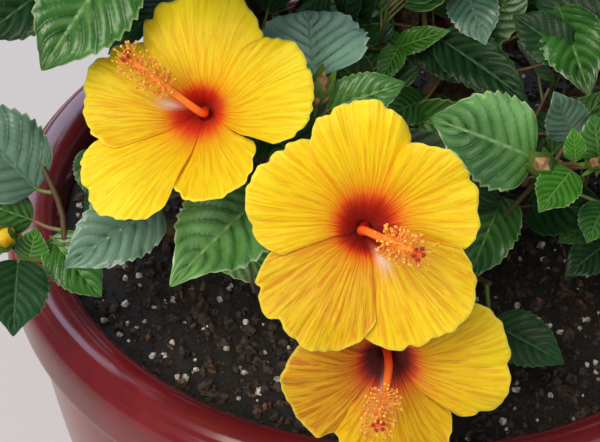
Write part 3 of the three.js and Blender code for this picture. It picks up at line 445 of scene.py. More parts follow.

# Leaves that frame the front blooms: foot and tip of the blade, and its width. Then how deep
# it is folded, how far its tip bends down, and its kind: an age, or a finish painted lighter (light) or with
# a painted sky sheen (pale, greyed).
faceLeaves = {
    "leaves_left": [
        ((-205, -123, 456), (-243, -117, 508), 50, 0.25, 0.10, "greyed"),
        ((-208, -130, 440), (-246, -134, 462), 28, 0.30, 0.10, "grown"),
        ((-198, -137, 434), (-170, -158, 409), 30, 0.45, 0.20, "grown"),
        ((-214, -152, 430), (-212, -198, 420), 36, 0.20, 0.10, "old"),
        ((-210, -144, 422), (-204, -145, 446), 20, 0.35, 0.10, "young")],
    "leaves_front_left": [
        ((-139, -125, 446), (-186, -168, 441), 40, 0.60, 0.15, "greyed"),
        ((-84, -118, 446), (-124, -196, 460), 52, 0.42, 0.16, "light"),
        ((-160, -108, 446), (-182, -116, 436), 26, 0.30, 0.10, "old"),
        ((-177, -81, 451), (-180, -108, 440), 22, 0.30, 0.10, "grown")],
    "leaves_front": [
        ((-54, -106, 516), (-58, -30, 516), 62, 0.35, 0.10, "pale"),
        ((-48, -122, 508), (-8, -122, 527), 26, 0.35, 0.20, "grown")],
    "leaves_low_right": [
        ((53, -98, 430), (30, -150, 414), 34, 0.45, 0.15, "grown"),
        ((43, -166, 396), (80, -190, 392), 30, 0.30, 0.25, "old")],
    "leaves_right_front": [
        ((63, -126, 480), (8, -134, 513), 52, 0.45, 0.14, "light"),
        ((81, -140, 482), (62, -168, 479), 24, 0.25, 0.10, "young"),
        ((84, -134, 484), (81, -132, 504), 12, 0.30, 0.10, "young"),
        ((104, -100, 412), (84, -116, 412), 14, 0.30, 0.10, "grown"),
        ((90, -84, 463), (78, -88, 494), 26, 0.45, 0.12, "greyed"),
        ((97, -132, 483), (91, -130, 511), 22, 0.35, 0.10, "grown"),
        ((105, -124, 446), (93, -149, 441), 22, 0.35, 0.10, "grown"),
        ((114, -114, 412), (87, -135, 405), 24, 0.30, 0.15, "old")],
    "leaves_right": [
        ((128, -8, 486), (77, 11, 491), 42, 0.25, 0.15, "old"),
        ((136, 2, 500), (104, 30, 512), 30, 0.25, 0.15, "grown")],
    "leaves_inner": [
        ((-6, -20, 478), (22, -30, 498), 15, 0.45, 0.20, "young"),
        ((-4, -21, 480), (-16, -44, 472), 15, 0.45, 0.20, "young"),
        ((19, -18, 484), (66, -62, 474), 32, 0.50, 0.18, "old"),
        ((96, -24, 476), (62, -12, 496), 30, 0.30, 0.10, "old"),
        ((34, -1, 508), (43, -38, 496), 30, 0.15, 0.20, "greyed"),
        ((91, 4, 490), (103, -52, 472), 38, 0.45, 0.20, "grown"),
        ((9, -8, 474), (33, -36, 466), 20, 0.20, 0.20, "old"),
        ((12, -23, 443), (-15, -48, 450), 26, 0.25, 0.15, "grown")],
    "leaves_upper_left": [
        ((-152, -92, 586), (-191, -142, 550), 52, 0.38, 0.16, "grown"),
        ((-186, -48, 548), (-232, -91, 533), 40, 0.25, 0.10, "old")],
}

# Buds: foot and tip, how thick, and how far the petals show.
buds = {
    "leaves_left": [((-219, -141, 440), (-223, -155, 446), 6.6, 0.5)],
    "leaves_front": [((-53, -119, 510), (-49, -121, 532), 5.8, 0.25)],
    "leaves_right_front": [((71, -136, 477), (62, -141, 491), 6.2, 0.35),
                           ((97, -131, 479), (91, -137, 487), 3.6, 0),
                           ((99, -128, 478), (97, -136, 489), 3.0, 0)],
    "leaves_upper_right": [((142, 4, 650), (147, -2, 668), 5.6, 0.3)],
    "leaves_back": [((10, 222, 566), (14, 230, 584), 5.8, 0.4)],
    "leaves_left_back": [((-224, 56, 540), (-233, 60, 556), 5.4, 0.3)],
}
print("tables:", len(boughs), "boughs,", len(masses), "masses,", len(blooms), "blooms")
boughTips = {name: np.array(tip, float) for name, (tip, _) in boughs.items()}
for bloom in blooms.values():
    bloom.update({key: np.array(bloom[key], float) for key in ("eye", "axis", "column")})
    bloom["axis"] = unit(bloom["axis"])


# Paths of the limbs, stems and bloom shoots.
growth = {"boughSag": 0.11, "boughSunk": 9, "forkLead": 6, "forkSpread": 0.52, "forkSunk": 2,
          "throatDepth": 24, "calyxDrop": 8, "neck": 16, "neckSag": 3, "steps": 14,
          "stemRadii": (2.6, 1.5), "sideTwigRadii": (1.7, 1.1), "fineTwigRadii": (1.2, 0.9),
          "petioleRadii": (1.0, 0.8), "facePetioleRadii": (1.25, 1.0), "budStalkRadii": (1.1, 1.3),
          "shootRadii": (1.9, 2.0)}


def boughPath(name, steps=30):
    start = np.array(trunk["top"], float) - upward * growth["boughSunk"]
    end = boughTips[name]
    middle = (start + end) / 2 - upward * growth["boughSag"] * np.linalg.norm(end - start)
    return smoothPath([start, middle, end], steps)


boughPaths = {name: boughPath(name) for name in boughs}
bloomOn = {bloom["bough"]: bloom for bloom in blooms.values()}
massOn = {bough: np.array(stem, float) for bough, _, stem in masses.values()}


def forkPath(boughName, ownWay, otherWay, points):  # a stem and a bloom's shoot stand side by side on a tip
    direction = alongAt(boughPaths[boughName], len(boughPaths[boughName]) - 1)
    start = boughTips[boughName]
    if otherWay is not None:
        apart = unit(ownWay) - unit(otherWay)
        apart = unit(apart - direction * np.dot(apart, direction))
        start = start + apart * boughs[boughName][1][1] * growth["forkSpread"]
    start = start - direction * growth["forkSunk"]
    return smoothPath([start, start + direction * growth["forkLead"], *points], growth["steps"])


def stemPath(boughName):
    tip, bloom, stem = boughTips[boughName], bloomOn.get(boughName), massOn[boughName]
    return forkPath(boughName, stem[0] - tip, bloom["eye"] - tip if bloom else None, stem)


def shootPath(bloom):
    tip, axis = boughTips[bloom["bough"]], bloom["axis"]
    calyx = bloom["eye"] - axis * (growth["throatDepth"] + growth["calyxDrop"])
    neck = calyx - axis * growth["neck"] - upward * growth["neckSag"]
    return forkPath(bloom["bough"], bloom["eye"] - tip, massOn[bloom["bough"]][0] - tip, [neck, calyx])


stems = {name: stemPath(boughName) for name, (boughName, *_) in masses.items()}
shoots = [shootPath(bloom) for bloom in blooms.values()]


# The crown's space. Leaves keep to it, to their own mass, and clear of limbs, blooms and views.
crown = {"middle": (2, 17, 470), "reach": (276, 256), "rise": 262, "drop": 93, "cellMargin": 1.0,
         "heart": 0.72, "limbClearance": 2.6, "leafClearance": 2.6, "bladeMargin": 1.5}
onlooker = {"place": (-62, -843, 1037), "pitch": 39.97, "halfWidth": 0.181, "halfHeight": 0.134,
            "openDepth": 930, "margin": 12, "hidden": 0.82, "petals": 62,
            "soil": [(-165, -120, 60), (-110, -165, 62), (85, -150, 62), (110, -105, 34)],
            "rim": [(-225, -75, 26), (-212, -130, 26), (-180, -178, 30), (-218, 40, 16), (-214, 78, 16)],
            "ground": [(-345, 640, 60), (-300, 625, 40), (-306, 190, 60)]}
soilTop, rimTop = 338, 360
bloomRoom = {"below": 34, "above": 62, "throat": 14, "petals": 67, "opensOver": 40}

pitch = math.radians(onlooker["pitch"])
sightForward = np.array([0, math.cos(pitch), -math.sin(pitch)])
sightUp = np.array([0, math.sin(pitch), math.cos(pitch)])
onlookerPlace, crownMiddle = np.array(onlooker["place"], float), np.array(crown["middle"], float)


def sightOf(points):
    offset = np.atleast_2d(points) - onlookerPlace
    depth = offset @ sightForward
    return depth, offset[:, 0] / depth, offset @ sightUp / depth


frontBlooms = [blooms[name] for name in ("bloom_upper", "bloom_middle", "bloom_lower")]
viewPlaces = [(bloom["eye"], onlooker["petals"]) for bloom in frontBlooms]
for spots, height in (("soil", soilTop), ("rim", rimTop), ("ground", 0)):
    viewPlaces += [((x, y, height), radius) for x, y, radius in onlooker[spots]]
viewPlaces += [((np.array(foot) + np.array(tip)) / 2, width / 2)
               for table in faceLeaves.values() for foot, tip, width, *_ in table]
viewDepth, viewAcross, viewRise = sightOf(np.array([place for place, _ in viewPlaces], float))
viewRadius = np.array([radius for _, radius in viewPlaces], float)


def blocksView(points):
    depth, across, rise = sightOf(points)
    seen = (np.abs(across) < onlooker["halfWidth"]) & (np.abs(rise) < onlooker["halfHeight"])
    apart = np.hypot(across[:, None] - viewAcross, rise[:, None] - viewRise)
    front = slice(0, len(frontBlooms))
    hidden = ((depth[:, None] > viewDepth[front] + onlooker["margin"])
              & (apart[:, front] < onlooker["hidden"] * viewRadius[front] / viewDepth[front])).any(1)
    before = ((depth[:, None] < viewDepth - onlooker["margin"]) & (apart < viewRadius / viewDepth)).any(1)
    return seen & ~hidden & ((depth < onlooker["openDepth"]) | before)


def insideCrown(points):
    offset = points - crownMiddle
    rise = np.where(points[:, 2] > crownMiddle[2], crown["rise"], crown["drop"])
    shares = [offset[:, 0] / crown["reach"][0], offset[:, 1] / crown["reach"][1], offset[:, 2] / rise]
    return np.sqrt(sum(share**2 for share in shares)) < 1


hearts = np.array([pointAt(stem, crown["heart"]) for stem in stems.values()])
spurOwner = -2  # spurs grow on the boughs themselves, in whichever cell they reach


def insideCell(points, index):
    towards = np.delete(hearts, index, 0) - hearts[index]
    length = np.linalg.norm(towards, axis=1)
    reach = (points - hearts[index]) @ towards.T / length
    return (reach < length / 2 - crown["cellMargin"]).all(1)


rods = np.zeros((0, 8))  # one row each: start, span, radius, owner


def addRod(path, radius, owner):
    global rods
    path = np.array(path, float)
    rest = np.tile([radius, owner], (len(path) - 1, 1))
    rods = np.vstack([rods, np.hstack([path[:-1], path[1:] - path[:-1], rest])])


addRod([trunk["foot"], trunk["top"]], trunk["radius"] + trunk["flare"] / 2, -1)
for name, path in boughPaths.items():
    addRod(path[::3], max(boughs[name][1]), -1)
for index, path in enumerate(stems.values()):
    addRod(path[::2], growth["stemRadii"][0], index)
for path in shoots:
    addRod(path[::2], growth["shootRadii"][0], -1)


def hitsRods(points, owner):
    others = rods[rods[:, 7] != owner]
    starts, spans = others[:, 0:3], others[:, 3:6]
    offset = points[:, None] - starts
    share = np.clip((offset * spans).sum(2) / (spans**2).sum(1), 0, 1)
    apart = np.linalg.norm(offset - share[..., None] * spans, axis=2)
    return (apart < others[:, 6] + crown["limbClearance"]).any(1)


bloomEyes, bloomAxes = [np.array([bloom[key] for bloom in blooms.values()]) for key in ("eye", "axis")]


def hitsBlooms(points):
    offset = points[:, None] - bloomEyes
    height = (offset * bloomAxes).sum(2)
    radius = np.linalg.norm(offset - height[..., None] * bloomAxes, axis=2)
    opened = np.clip((height + bloomRoom["below"]) / bloomRoom["opensOver"], 0, 1)
    room = lerp((bloomRoom["throat"], bloomRoom["petals"]), opened)
    return ((height > -bloomRoom["below"]) & (height < bloomRoom["above"]) & (radius < room)).any(1)


def isFree(points, owner):
    points = np.atleast_2d(points)
    ownCell = owner == spurOwner or insideCell(points, owner).all()
    return (ownCell and insideCrown(points).all() and not blocksView(points).any()
            and not hitsBlooms(points).any() and not hitsRods(points, owner).any())


# Placed blades, one row each: middle, direction, way across, normal, half length, half width.
blades = np.zeros((0, 14))


def addBlade(foot, tip, width, face):
    global blades
    direction = unit(tip - foot)
    across = unit(np.cross(direction, face))
    row = [*(foot + tip) / 2, *direction, *across, *np.cross(across, direction),
           np.linalg.norm(tip - foot) / 2, width / 2]
    blades = np.vstack([blades, row])


def hitsBlades(points):
    offset = points[:, None] - blades[:, 0:3]
    lengthwise = (offset * blades[:, 3:6]).sum(2) / (blades[:, 12] + crown["bladeMargin"])
    crosswise = (offset * blades[:, 6:9]).sum(2) / (blades[:, 13] + crown["bladeMargin"])
    apart = np.abs((offset * blades[:, 9:12]).sum(2))
    return ((apart < crown["leafClearance"]) & (lengthwise**2 + crosswise**2 < 1)).any()


# The growing rule of the source, carried on to finer twigs and more leaves.
rule = {"firstSeed": 211, "seedStep": 97, "sideSpan": (0.22, 0.94), "sideLength": (96, 34, 20),
        "out": 0.86, "ahead": 0.42, "lift": 0.09, "sideSteps": 6,
        "fineTwigs": 3, "fineLength": (52, 24), "fineFrom": 0.3, "fineOver": 0.6, "fineTurn": 3,
        "fineSteps": 4, "stemLeaves": (0.3, 0.97), "sideLeaves": (0.24, 0.97), "spacing": 9.5,
        "petiole": (13, 9), "leafLength": (50, 82), "widthShare": 0.64, "widest": 0.4, "lean": 0.45,
        "endLean": 1.5, "droop": (0.12, 0.3), "faceUp": 1.1, "attempts": 8, "retryTurn": 1.2,
        "retryShrink": 0.94, "spurs": 4, "spurSpan": (0.3, 0.96), "spurLength": (26, 34), "spurTurn": 2,
        "spurSteps": 6, "spurLeaves": (0.5, 0.97), "spurSeed": 5003, "youngFrom": 0.8, "youngUpTo": 62,
        "oldEvery": 3, "stalkOverlap": 0.04, "testShares": (0.25, 0.5, 0.75, 1)}


def seededDraw(seed):
    state = [seed]

    def draw():
        state[0] = state[0] * 16807 % 2147483647
        return state[0] / 2147483647
    return draw


def twigPath(base, share, turn, length, owner, steps):
    root, direction, level, rising = waysAt(base, share)
    way = unit(swing(level, rising, turn) * rule["out"] + direction * rule["ahead"])
    path = [root]
    for i in range(steps):
        way = unit(way + upward * rule["lift"] * 3 / steps)
        step = way * length / steps
        leavesBough = owner == spurOwner and i < 2  # it starts inside the bark
        if not leavesBough and not isFree(path[-1] + step * np.linspace(0.2, 1, 4)[:, None], owner):
            break
        path.append(path[-1] + step)
    return np.array(path)


def bladePoints(root, foot, tip, width, face):
    across = unit(np.cross(unit(tip - foot), face))
    widest = foot + (tip - foot) * rule["widest"]
    points = []
    for start, end, startWidth, endWidth in ((root, widest, 0, width), (widest, tip, width, 0)):
        for share in rule["testShares"]:
            half = across * lerp((startWidth, endWidth), share) / 2
            points += [lerp((start, end), share) + half * side for side in (-1, 0, 1)]
    return np.array(points)


twigTubes, petioleTubes, budPlaces, heroLeaves = [], [], [], []
leaves = {"old": [], "grown": [], "young": []}


def addLeaves(path, span, owner, draw, age):
    count = int(np.linalg.norm(path[-1] - path[0]) * (1 - span[0]) / rule["spacing"]) + 2
    phase = draw() * fullTurn
    for i in range(count):
        share = lerp(span, i / (count - 1))
        lean = rule["endLean"] if i == count - 1 else rule["lean"]
        size = lerp(rule["leafLength"], draw())
        droop = drawn(rule["droop"], draw)
        stalk = drawn(rule["petiole"], draw)
        root, direction, level, rising = waysAt(path, share)
        for attempt in range(rule["attempts"]):
            turn = phase + i * goldenAngle + attempt * rule["retryTurn"]
            way = unit(swing(level, rising, turn) + direction * lean)
            foot = root + way * stalk
            length = size * rule["retryShrink"] ** attempt
            width = length * rule["widthShare"]
            tip = foot + unit(way - upward * droop) * length
            face = unit(upward * rule["faceUp"] + unit(foot - crownMiddle))
            points = bladePoints(root, foot, tip, width, face)[3:]
            if isFree(points, owner) and not hitsBlades(points):
                addBlade(foot, tip, width, face)
                young = share > rule["youngFrom"] and length < rule["youngUpTo"]
                leaves["young" if young else age].append((foot, tip, width, face))
                stalkEnd = foot + (tip - foot) * rule["stalkOverlap"]
                petioleTubes.append((np.array([root, stalkEnd]), *growth["petioleRadii"]))
                break


def growMass(owner, stem, sideTwigs):
    draw = seededDraw(rule["firstSeed"] + rule["seedStep"] * owner)
    twigs = [(stem, rule["stemLeaves"])]
    twigTubes.append((stem, *growth["stemRadii"]))

    def addTwig(path, span, radii):
        twigs.append((path, span))
        twigTubes.append((path, *radii))
        addRod(path, radii[0], owner)
    for k in range(sideTwigs):
        share = lerp(rule["sideSpan"], (k + 0.5) / sideTwigs)
        turn = k * goldenAngle + draw()
        longest, lessTowardsTip, chance = rule["sideLength"]
        length = longest - lessTowardsTip * share + chance * draw()
        path = twigPath(stem, share, turn, length, owner, rule["sideSteps"])
        if len(path) < 4:
            continue
        addTwig(path, rule["sideLeaves"], growth["sideTwigRadii"])
        for fine in range(rule["fineTwigs"]):
            share = rule["fineFrom"] + rule["fineOver"] * (fine + draw()) / rule["fineTwigs"]
            length = drawn(rule["fineLength"], draw)
            turn = fine * goldenAngle + rule["fineTurn"] * draw()
            finePath = twigPath(path, share, turn, length, owner, rule["fineSteps"])
            if len(finePath) > 2:
                addTwig(finePath, rule["stemLeaves"], growth["fineTwigRadii"])
    for number, (path, span) in enumerate(twigs):
        addLeaves(path, span, owner, draw, "grown" if (number + owner) % rule["oldEvery"] else "old")


def growSpurs(bough, seed):
    draw = seededDraw(seed)
    for k in range(rule["spurs"]):
        share = lerp(rule["spurSpan"], (k + draw()) / rule["spurs"])
        length = drawn(rule["spurLength"], draw)
        turn = k * goldenAngle + rule["spurTurn"] * draw()
        path = twigPath(bough, share, turn, length, spurOwner, rule["spurSteps"])
        if len(path) < 5 or not isFree(path[3:], spurOwner):
            continue
        twigTubes.append((path, *growth["fineTwigRadii"]))
        addRod(path[3:], growth["fineTwigRadii"][0], k)
        addLeaves(path, rule["spurLeaves"], spurOwner, draw, "old")


faced = {"up": 0.35, "stalkSag": 0.08, "stalkLow": 8, "stalkPlaces": np.linspace(0.2, 0.97, 16)}


def petioleTo(foot, stem):  # from the stem's nearest place a little below the foot
    places = [pointAt(stem, share) for share in faced["stalkPlaces"]]
    start = min(places, key=lambda place: np.linalg.norm(place + upward * faced["stalkLow"] - foot))
    middle = (start + foot) / 2 - upward * faced["stalkSag"] * np.linalg.norm(foot - start)
    return smoothPath([start, middle, foot], 6)


for name, table in faceLeaves.items():
    for foot, tip, width, *look in table:
        foot, tip = np.array(foot, float), np.array(tip, float)
        face = unit(unit(onlookerPlace - foot) + upward * faced["up"])
        heroLeaves.append((foot, tip, width, face, *look))
        addBlade(foot, tip, width, face)
        path = np.vstack([petioleTo(foot, stems[name]), foot + (tip - foot) * rule["stalkOverlap"]])
        petioleTubes.append((path, *growth["facePetioleRadii"]))
for name, table in buds.items():
    for foot, tip, radius, opened in table:
        foot, tip = np.array(foot, float), np.array(tip, float)
        budPlaces.append((foot, tip, radius, opened, name == "leaves_left"))
        petioleTubes.append((petioleTo(foot, stems[name]), *growth["budStalkRadii"]))
for index, (name, (_, sideTwigs, _)) in enumerate(masses.items()):
    growMass(index, stems[name], sideTwigs)
for index, path in enumerate(boughPaths.values()):
    growSpurs(path, rule["spurSeed"] + rule["seedStep"] * index)
print("grown:", {age: len(found) for age, found in leaves.items()}, "and", len(heroLeaves), "face leaves")


# Bark: a thin grey-brown cork over green wood, matt, with pale breathing pores along it.
# Its fissures and pores are drawn coarser than real ones, so that they show.
bark = {"sides": 16, "trunkSides": 40, "trunkSteps": 24, "trunkSunk": 2.5, "steps": 44,
        "relief": 0.55, "trunkRelief": 0.9, "ridgeLength": 0.06, "ridgeRound": 1.6,
        "scars": 31, "scarDepth": 0.05,  # leaf scars leave faint rings
        "fissureWidth": 3.846, "lichenWidth": 18.18, "poreSpacing": 4.762}


def makeBarkFinish():
    finish, tree, shader = newFinish("corky bark", {"Roughness": 0.82, "Specular IOR Level": 0.3})
    place = addNode(tree, "ShaderNodeTexCoord").outputs["Object"]
    grain = addNode(tree, "ShaderNodeTexNoise",
                    {"Vector": place, "Scale": perMetre(bark["fissureWidth"]), "Detail": 6.0,
                     "Roughness": 0.65})
    blotch = addNode(tree, "ShaderNodeTexNoise",
                     {"Vector": place, "Scale": perMetre(bark["lichenWidth"]), "Detail": 3.0})
    pores = addNode(tree, "ShaderNodeTexVoronoi", {"Vector": place, "Scale": perMetre(bark["poreSpacing"])})
    tone = addNode(tree, "ShaderNodeValToRGB", {"Fac": grain},
                   [(0.3, "#2E2218"), (0.52, "#5B4733"), (0.75, "#877258")])
    lichen = addNode(tree, "ShaderNodeMapRange", {"Value": blotch, "From Min": 0.52, "From Max": 0.72})
    greyed = addNode(tree, "ShaderNodeMix", {0: lichen, 6: tone, 7: "#7C7460"}, data_type="RGBA")
    dots = addNode(tree, "ShaderNodeMapRange", {"Value": pores, "From Min": 0.16, "From Max": 0.1})
    pale = addNode(tree, "ShaderNodeMix", {0: dots, 6: greyed, 7: "#A08E70"}, data_type="RGBA")
    bump = addNode(tree, "ShaderNodeBump", {"Height": grain, "Strength": 0.7, "Distance": 0.0006})
    setSockets(shader, {"Base Color": pale, "Normal": bump})
    return finish


def barkRings(path, radiusAt, sides, relief):
    points = []
    level = squareTo(alongAt(path, 0))[0]
    for i, centre in enumerate(path):
        direction = alongAt(path, i)
        level = unit(level - direction * np.dot(level, direction))
        rising = np.cross(direction, level)
        for k in range(sides):
            angle = fullTurn * k / sides
            out = swing(level, rising, angle)
            spot = Vector(centre * bark["ridgeLength"] + out * bark["ridgeRound"])
            rough = noise.noise(spot) * 2 + 0.5 * noise.noise(spot * 4)
            points.append(centre + out * (radiusAt(i / (len(path) - 1), angle) + relief * rough))
    faces = gridFaces(len(path), sides, closed=True)
    faces += [tuple(range(sides))[::-1], tuple(range(len(points) - sides, len(points)))]
    return points, faces


def makeBark():
    def trunkRadius(share, angle):
        ridge = 1 + trunk["ridgeDepth"] * math.cos(trunk["ridges"] * angle)
        return trunk["radius"] - trunk["taper"] * share + trunk["flare"] * (1 - share) ** 4 * ridge

    foot = np.array(trunk["foot"], float) - upward * bark["trunkSunk"]
    path = smoothPath([foot, trunk["middle"], trunk["top"]], bark["trunkSteps"])
    points, faces = barkRings(path, trunkRadius, bark["trunkSides"], bark["trunkRelief"])
    for name, (_, radii) in boughs.items():
        def radiusAt(share, angle, radii=radii):
            return lerp(radii, share) * (1 + bark["scarDepth"] * math.sin(share * bark["scars"]) ** 8)
        path = boughPath(name, bark["steps"])
        addTo(points, faces, *barkRings(path, radiusAt, bark["sides"], bark["relief"]))
    dress(newPiece("bark_limbs", points, faces, makeBarkFinish()), ["trunk", *boughs])


makeBark()
print("bark done")


# Young wood: smooth green shoots, browner lower down, with a soft waxy gloss.
def addSkin(tree, shader, colour, width, strength, distance):  # a colour, and relief of that width
    place = addNode(tree, "ShaderNodeTexCoord").outputs["Object"]
    skin = addNode(tree, "ShaderNodeTexNoise", {"Vector": place, "Scale": perMetre(width), "Detail": 2.0})
    bump = addNode(tree, "ShaderNodeBump", {"Height": skin, "Strength": strength, "Distance": distance})
    setSockets(shader, {"Base Color": colour, "Normal": bump})


def makeTwigFinish(name, low, high, roughness):
    finish, tree, shader = newFinish(name, {"Roughness": roughness})
    place = addNode(tree, "ShaderNodeTexCoord").outputs["Object"]
    patch = addNode(tree, "ShaderNodeTexNoise", {"Vector": place, "Scale": perMetre(22.22), "Detail": 4.0})
    tone = addNode(tree, "ShaderNodeValToRGB", {"Fac": patch}, [(0.38, low), (0.62, high)])
    addSkin(tree, shader, tone, 1.111, 0.4, 0.0003)
    return finish


twigFinish = makeTwigFinish("young green-brown wood", "#4E3A26", "#5F6B34", 0.55)
petioleFinish = makeTwigFinish("smooth leaf stalk", "#5E7A33", "#7A5A3C", 0.45)
dress(makeTubes("twigs", twigTubes, 7, twigFinish))
dress(makeTubes("leaf_stalks", petioleTubes, 5, petioleFinish))
print("twigs done")


# Leaves. Each is a thin waxy blade, quilted between its side veins, with a toothed edge.
# The net between the veins has cells over 5 mm wide, coarser than a real leaf's, so that it shows.
leafVeins = {"pairs": 7.5, "slant": 0.32, "waverLength": 13.333, "patchWidth": 45.45, "net": (9.0, 15.0, 1.0)}
leafForm = {"halfWidth": 0.32, "widestPower": 0.7, "roundness": 0.66, "tipFrom": 0.7, "tipNarrowing": 0.5,
            "least": 0.003, "toothFrom": 0.14, "toothLead": 0.02, "waves": 2.5, "liftBack": 0.35}
leafShapes = [  # fold, bend, phase
    (0.22, 0.16, 0.0), (0.30, 0.10, 0.3), (0.15, 0.22, 0.6), (0.38, 0.14, 0.8), (0.26, 0.26, 0.15)]


def leafSurface(stations, columns, fold, bend, wave=0.012, quilt=0.0, teeth=8, toothDepth=0.13, phase=0.0):
    form = leafForm
    along, across = np.meshgrid(np.linspace(0, 1, stations), np.linspace(-1, 1, columns + 1), indexing="ij")
    spread = np.abs(across)
    pointed = np.clip((along - form["tipFrom"]) / (1 - form["tipFrom"]), 0, 1) ** 1.4
    half = form["halfWidth"] * np.sin(math.pi * along ** form["widestPower"]) ** form["roundness"]
    half = np.maximum(half * (1 - form["tipNarrowing"] * pointed), form["least"])
    toothed = np.clip((along - form["toothFrom"]) * 5, 0, 1) * spread**4
    y = across * half * (1 + ((along * teeth) % 1 - 0.5) * toothDepth * toothed)
    x = along + form["toothLead"] * spread**4 * (half / form["halfWidth"])
    veins = np.abs(np.sin(math.pi * (along - leafVeins["slant"] * spread) * leafVeins["pairs"])) ** 1.1
    pillow = np.sqrt(np.clip(spread * (1 - spread) * 4, 0, 1)) * np.sin(math.pi * along) ** 0.5
    z = fold * np.abs(y) - 0.5 * fold * np.abs(y) ** 2 / form["halfWidth"]
    z += bend * form["liftBack"] * along - bend * along**2 + quilt * veins * pillow
    z += wave * np.sin(fullTurn * (form["waves"] * along + phase)) * spread**2
    points = np.stack([x, y, z], -1).reshape(-1, 3)
    maps = np.stack([(across + 1) / 2, along], -1).reshape(-1, 2)
    return points, gridFaces(stations, columns + 1), maps


def makeLeafFinish(name, dark, light, vein, edge, roughness, shine=0.5, furrowShadeTone="#6C8C6C"):
    finish, tree, shader = newFinish(name, {
        "Specular IOR Level": shine, "Coat Weight": shine / 4, "Coat Roughness": 0.35})
    place = addNode(tree, "ShaderNodeTexCoord").outputs["Object"]
    spot = addNode(tree, "ShaderNodeUVMap", uv_map="leafMap")
    split = addNode(tree, "ShaderNodeSeparateXYZ", {0: spot})
    doubled = addNode(tree, "ShaderNodeMath", {0: split, 1: 2.0, 2: -1.0}, operation="MULTIPLY_ADD")
    spread = addNode(tree, "ShaderNodeMath", {0: doubled}, operation="ABSOLUTE")  # 0 on the midrib
    slanted = addNode(tree, "ShaderNodeMath", {0: spread, 1: -leafVeins["slant"], 2: split.outputs["Y"]},
                      operation="MULTIPLY_ADD")
    waver = addNode(tree, "ShaderNodeTexNoise",
                    {"Vector": place, "Scale": perMetre(leafVeins["waverLength"]), "Detail": 2.0})
    wavering = addNode(tree, "ShaderNodeMath", {0: waver, 1: 1.5, 2: -0.75},
                       operation="MULTIPLY_ADD")  # no two side veins run quite alike
    turned = addNode(tree, "ShaderNodeMath", {0: slanted, 1: math.pi * leafVeins["pairs"], 2: wavering},
                     operation="MULTIPLY_ADD")
    sine = addNode(tree, "ShaderNodeMath", {0: turned}, operation="SINE")
    ridge = addNode(tree, "ShaderNodeMath", {0: sine}, operation="ABSOLUTE")  # 0 along each side vein
    net = addNode(tree, "ShaderNodeMapping", {0: spot, "Scale": leafVeins["net"]})
    cells = addNode(tree, "ShaderNodeTexVoronoi", {"Vector": net, "Scale": 1.0}, feature="DISTANCE_TO_EDGE")
    patch = addNode(tree, "ShaderNodeTexNoise",
                    {"Vector": place, "Scale": perMetre(leafVeins["patchWidth"]), "Detail": 3.0,
                     "Roughness": 0.6})
    sideVein, midrib, mesh, hollow, swell, inward, uneven, rim, gloss = [
        addNode(tree, "ShaderNodeMapRange",
                {"Value": source, "From Min": near, "From Max": far, "To Min": least, "To Max": most},
                interpolation_type=way)
        for source, near, far, least, most, way in [
            (ridge, 0.0, 0.3, 0.4, 0.0, "SMOOTHSTEP"), (spread, 0.012, 0.05, 0.8, 0.0, "SMOOTHSTEP"),
            (cells, 0.0, 0.34, 0.16, 0.0, "SMOOTHSTEP"), (ridge, 0.0, 0.7, 0.75, 0.0, "SMOOTHSTEP"),
            (ridge, 0.6, 1.0, 0.0, 0.2, "SMOOTHSTEP"), (spread, 0.1, 0.95, 1.0, 0.1, "LINEAR"),
            (waver, 0.34, 0.66, 0.3, 1.0, "LINEAR"), (spread, 0.93, 1.0, 0.0, 0.6, "LINEAR"),
            (patch, 0.3, 0.7, roughness - 0.05, roughness + 0.07, "LINEAR")]]
    # the side-vein furrows get painted shade and the swells between them a painted highlight, both stronger
    # towards the midrib
    strong = addNode(tree, "ShaderNodeMath", {0: inward, 1: uneven}, operation="MULTIPLY")
    furrowShade = addNode(tree, "ShaderNodeMath", {0: hollow, 1: strong}, operation="MULTIPLY")
    swellHighlight = addNode(tree, "ShaderNodeMath", {0: swell, 1: strong}, operation="MULTIPLY")
    tone = addNode(tree, "ShaderNodeValToRGB", {"Fac": patch}, [(0.36, dark), (0.64, light)])
    colour = tone
    for strength, over, blend in [  # painted shade in the furrows by the side veins, painted highlight on the swells, then midrib and margin
            (furrowShade, furrowShadeTone, "MULTIPLY"), (swellHighlight, edge, "MIX"), (midrib, vein, "MIX"),
            (rim, edge, "MIX")]:
        colour = addNode(tree, "ShaderNodeMix", {0: strength, 6: colour, 7: over},
                         data_type="RGBA", blend_type=blend)
    furrow = addNode(tree, "ShaderNodeMath", {0: ridge, 1: -0.8, 2: 0.8},
                     operation="MULTIPLY_ADD")  # the blade swells between its side veins
    veins = addNode(tree, "ShaderNodeMath", {0: sideVein, 1: midrib}, operation="MAXIMUM")
    ribs = addNode(tree, "ShaderNodeMath", {0: veins, 1: mesh}, operation="ADD")
    relief = addNode(tree, "ShaderNodeMath", {0: ribs, 1: furrow}, operation="ADD")
    bump = addNode(tree, "ShaderNodeBump", {"Height": relief, "Strength": 0.42, "Distance": 0.0013},
                   invert=True)
    setSockets(shader, {"Base Color": colour, "Normal": bump, "Roughness": gloss})
    return finish


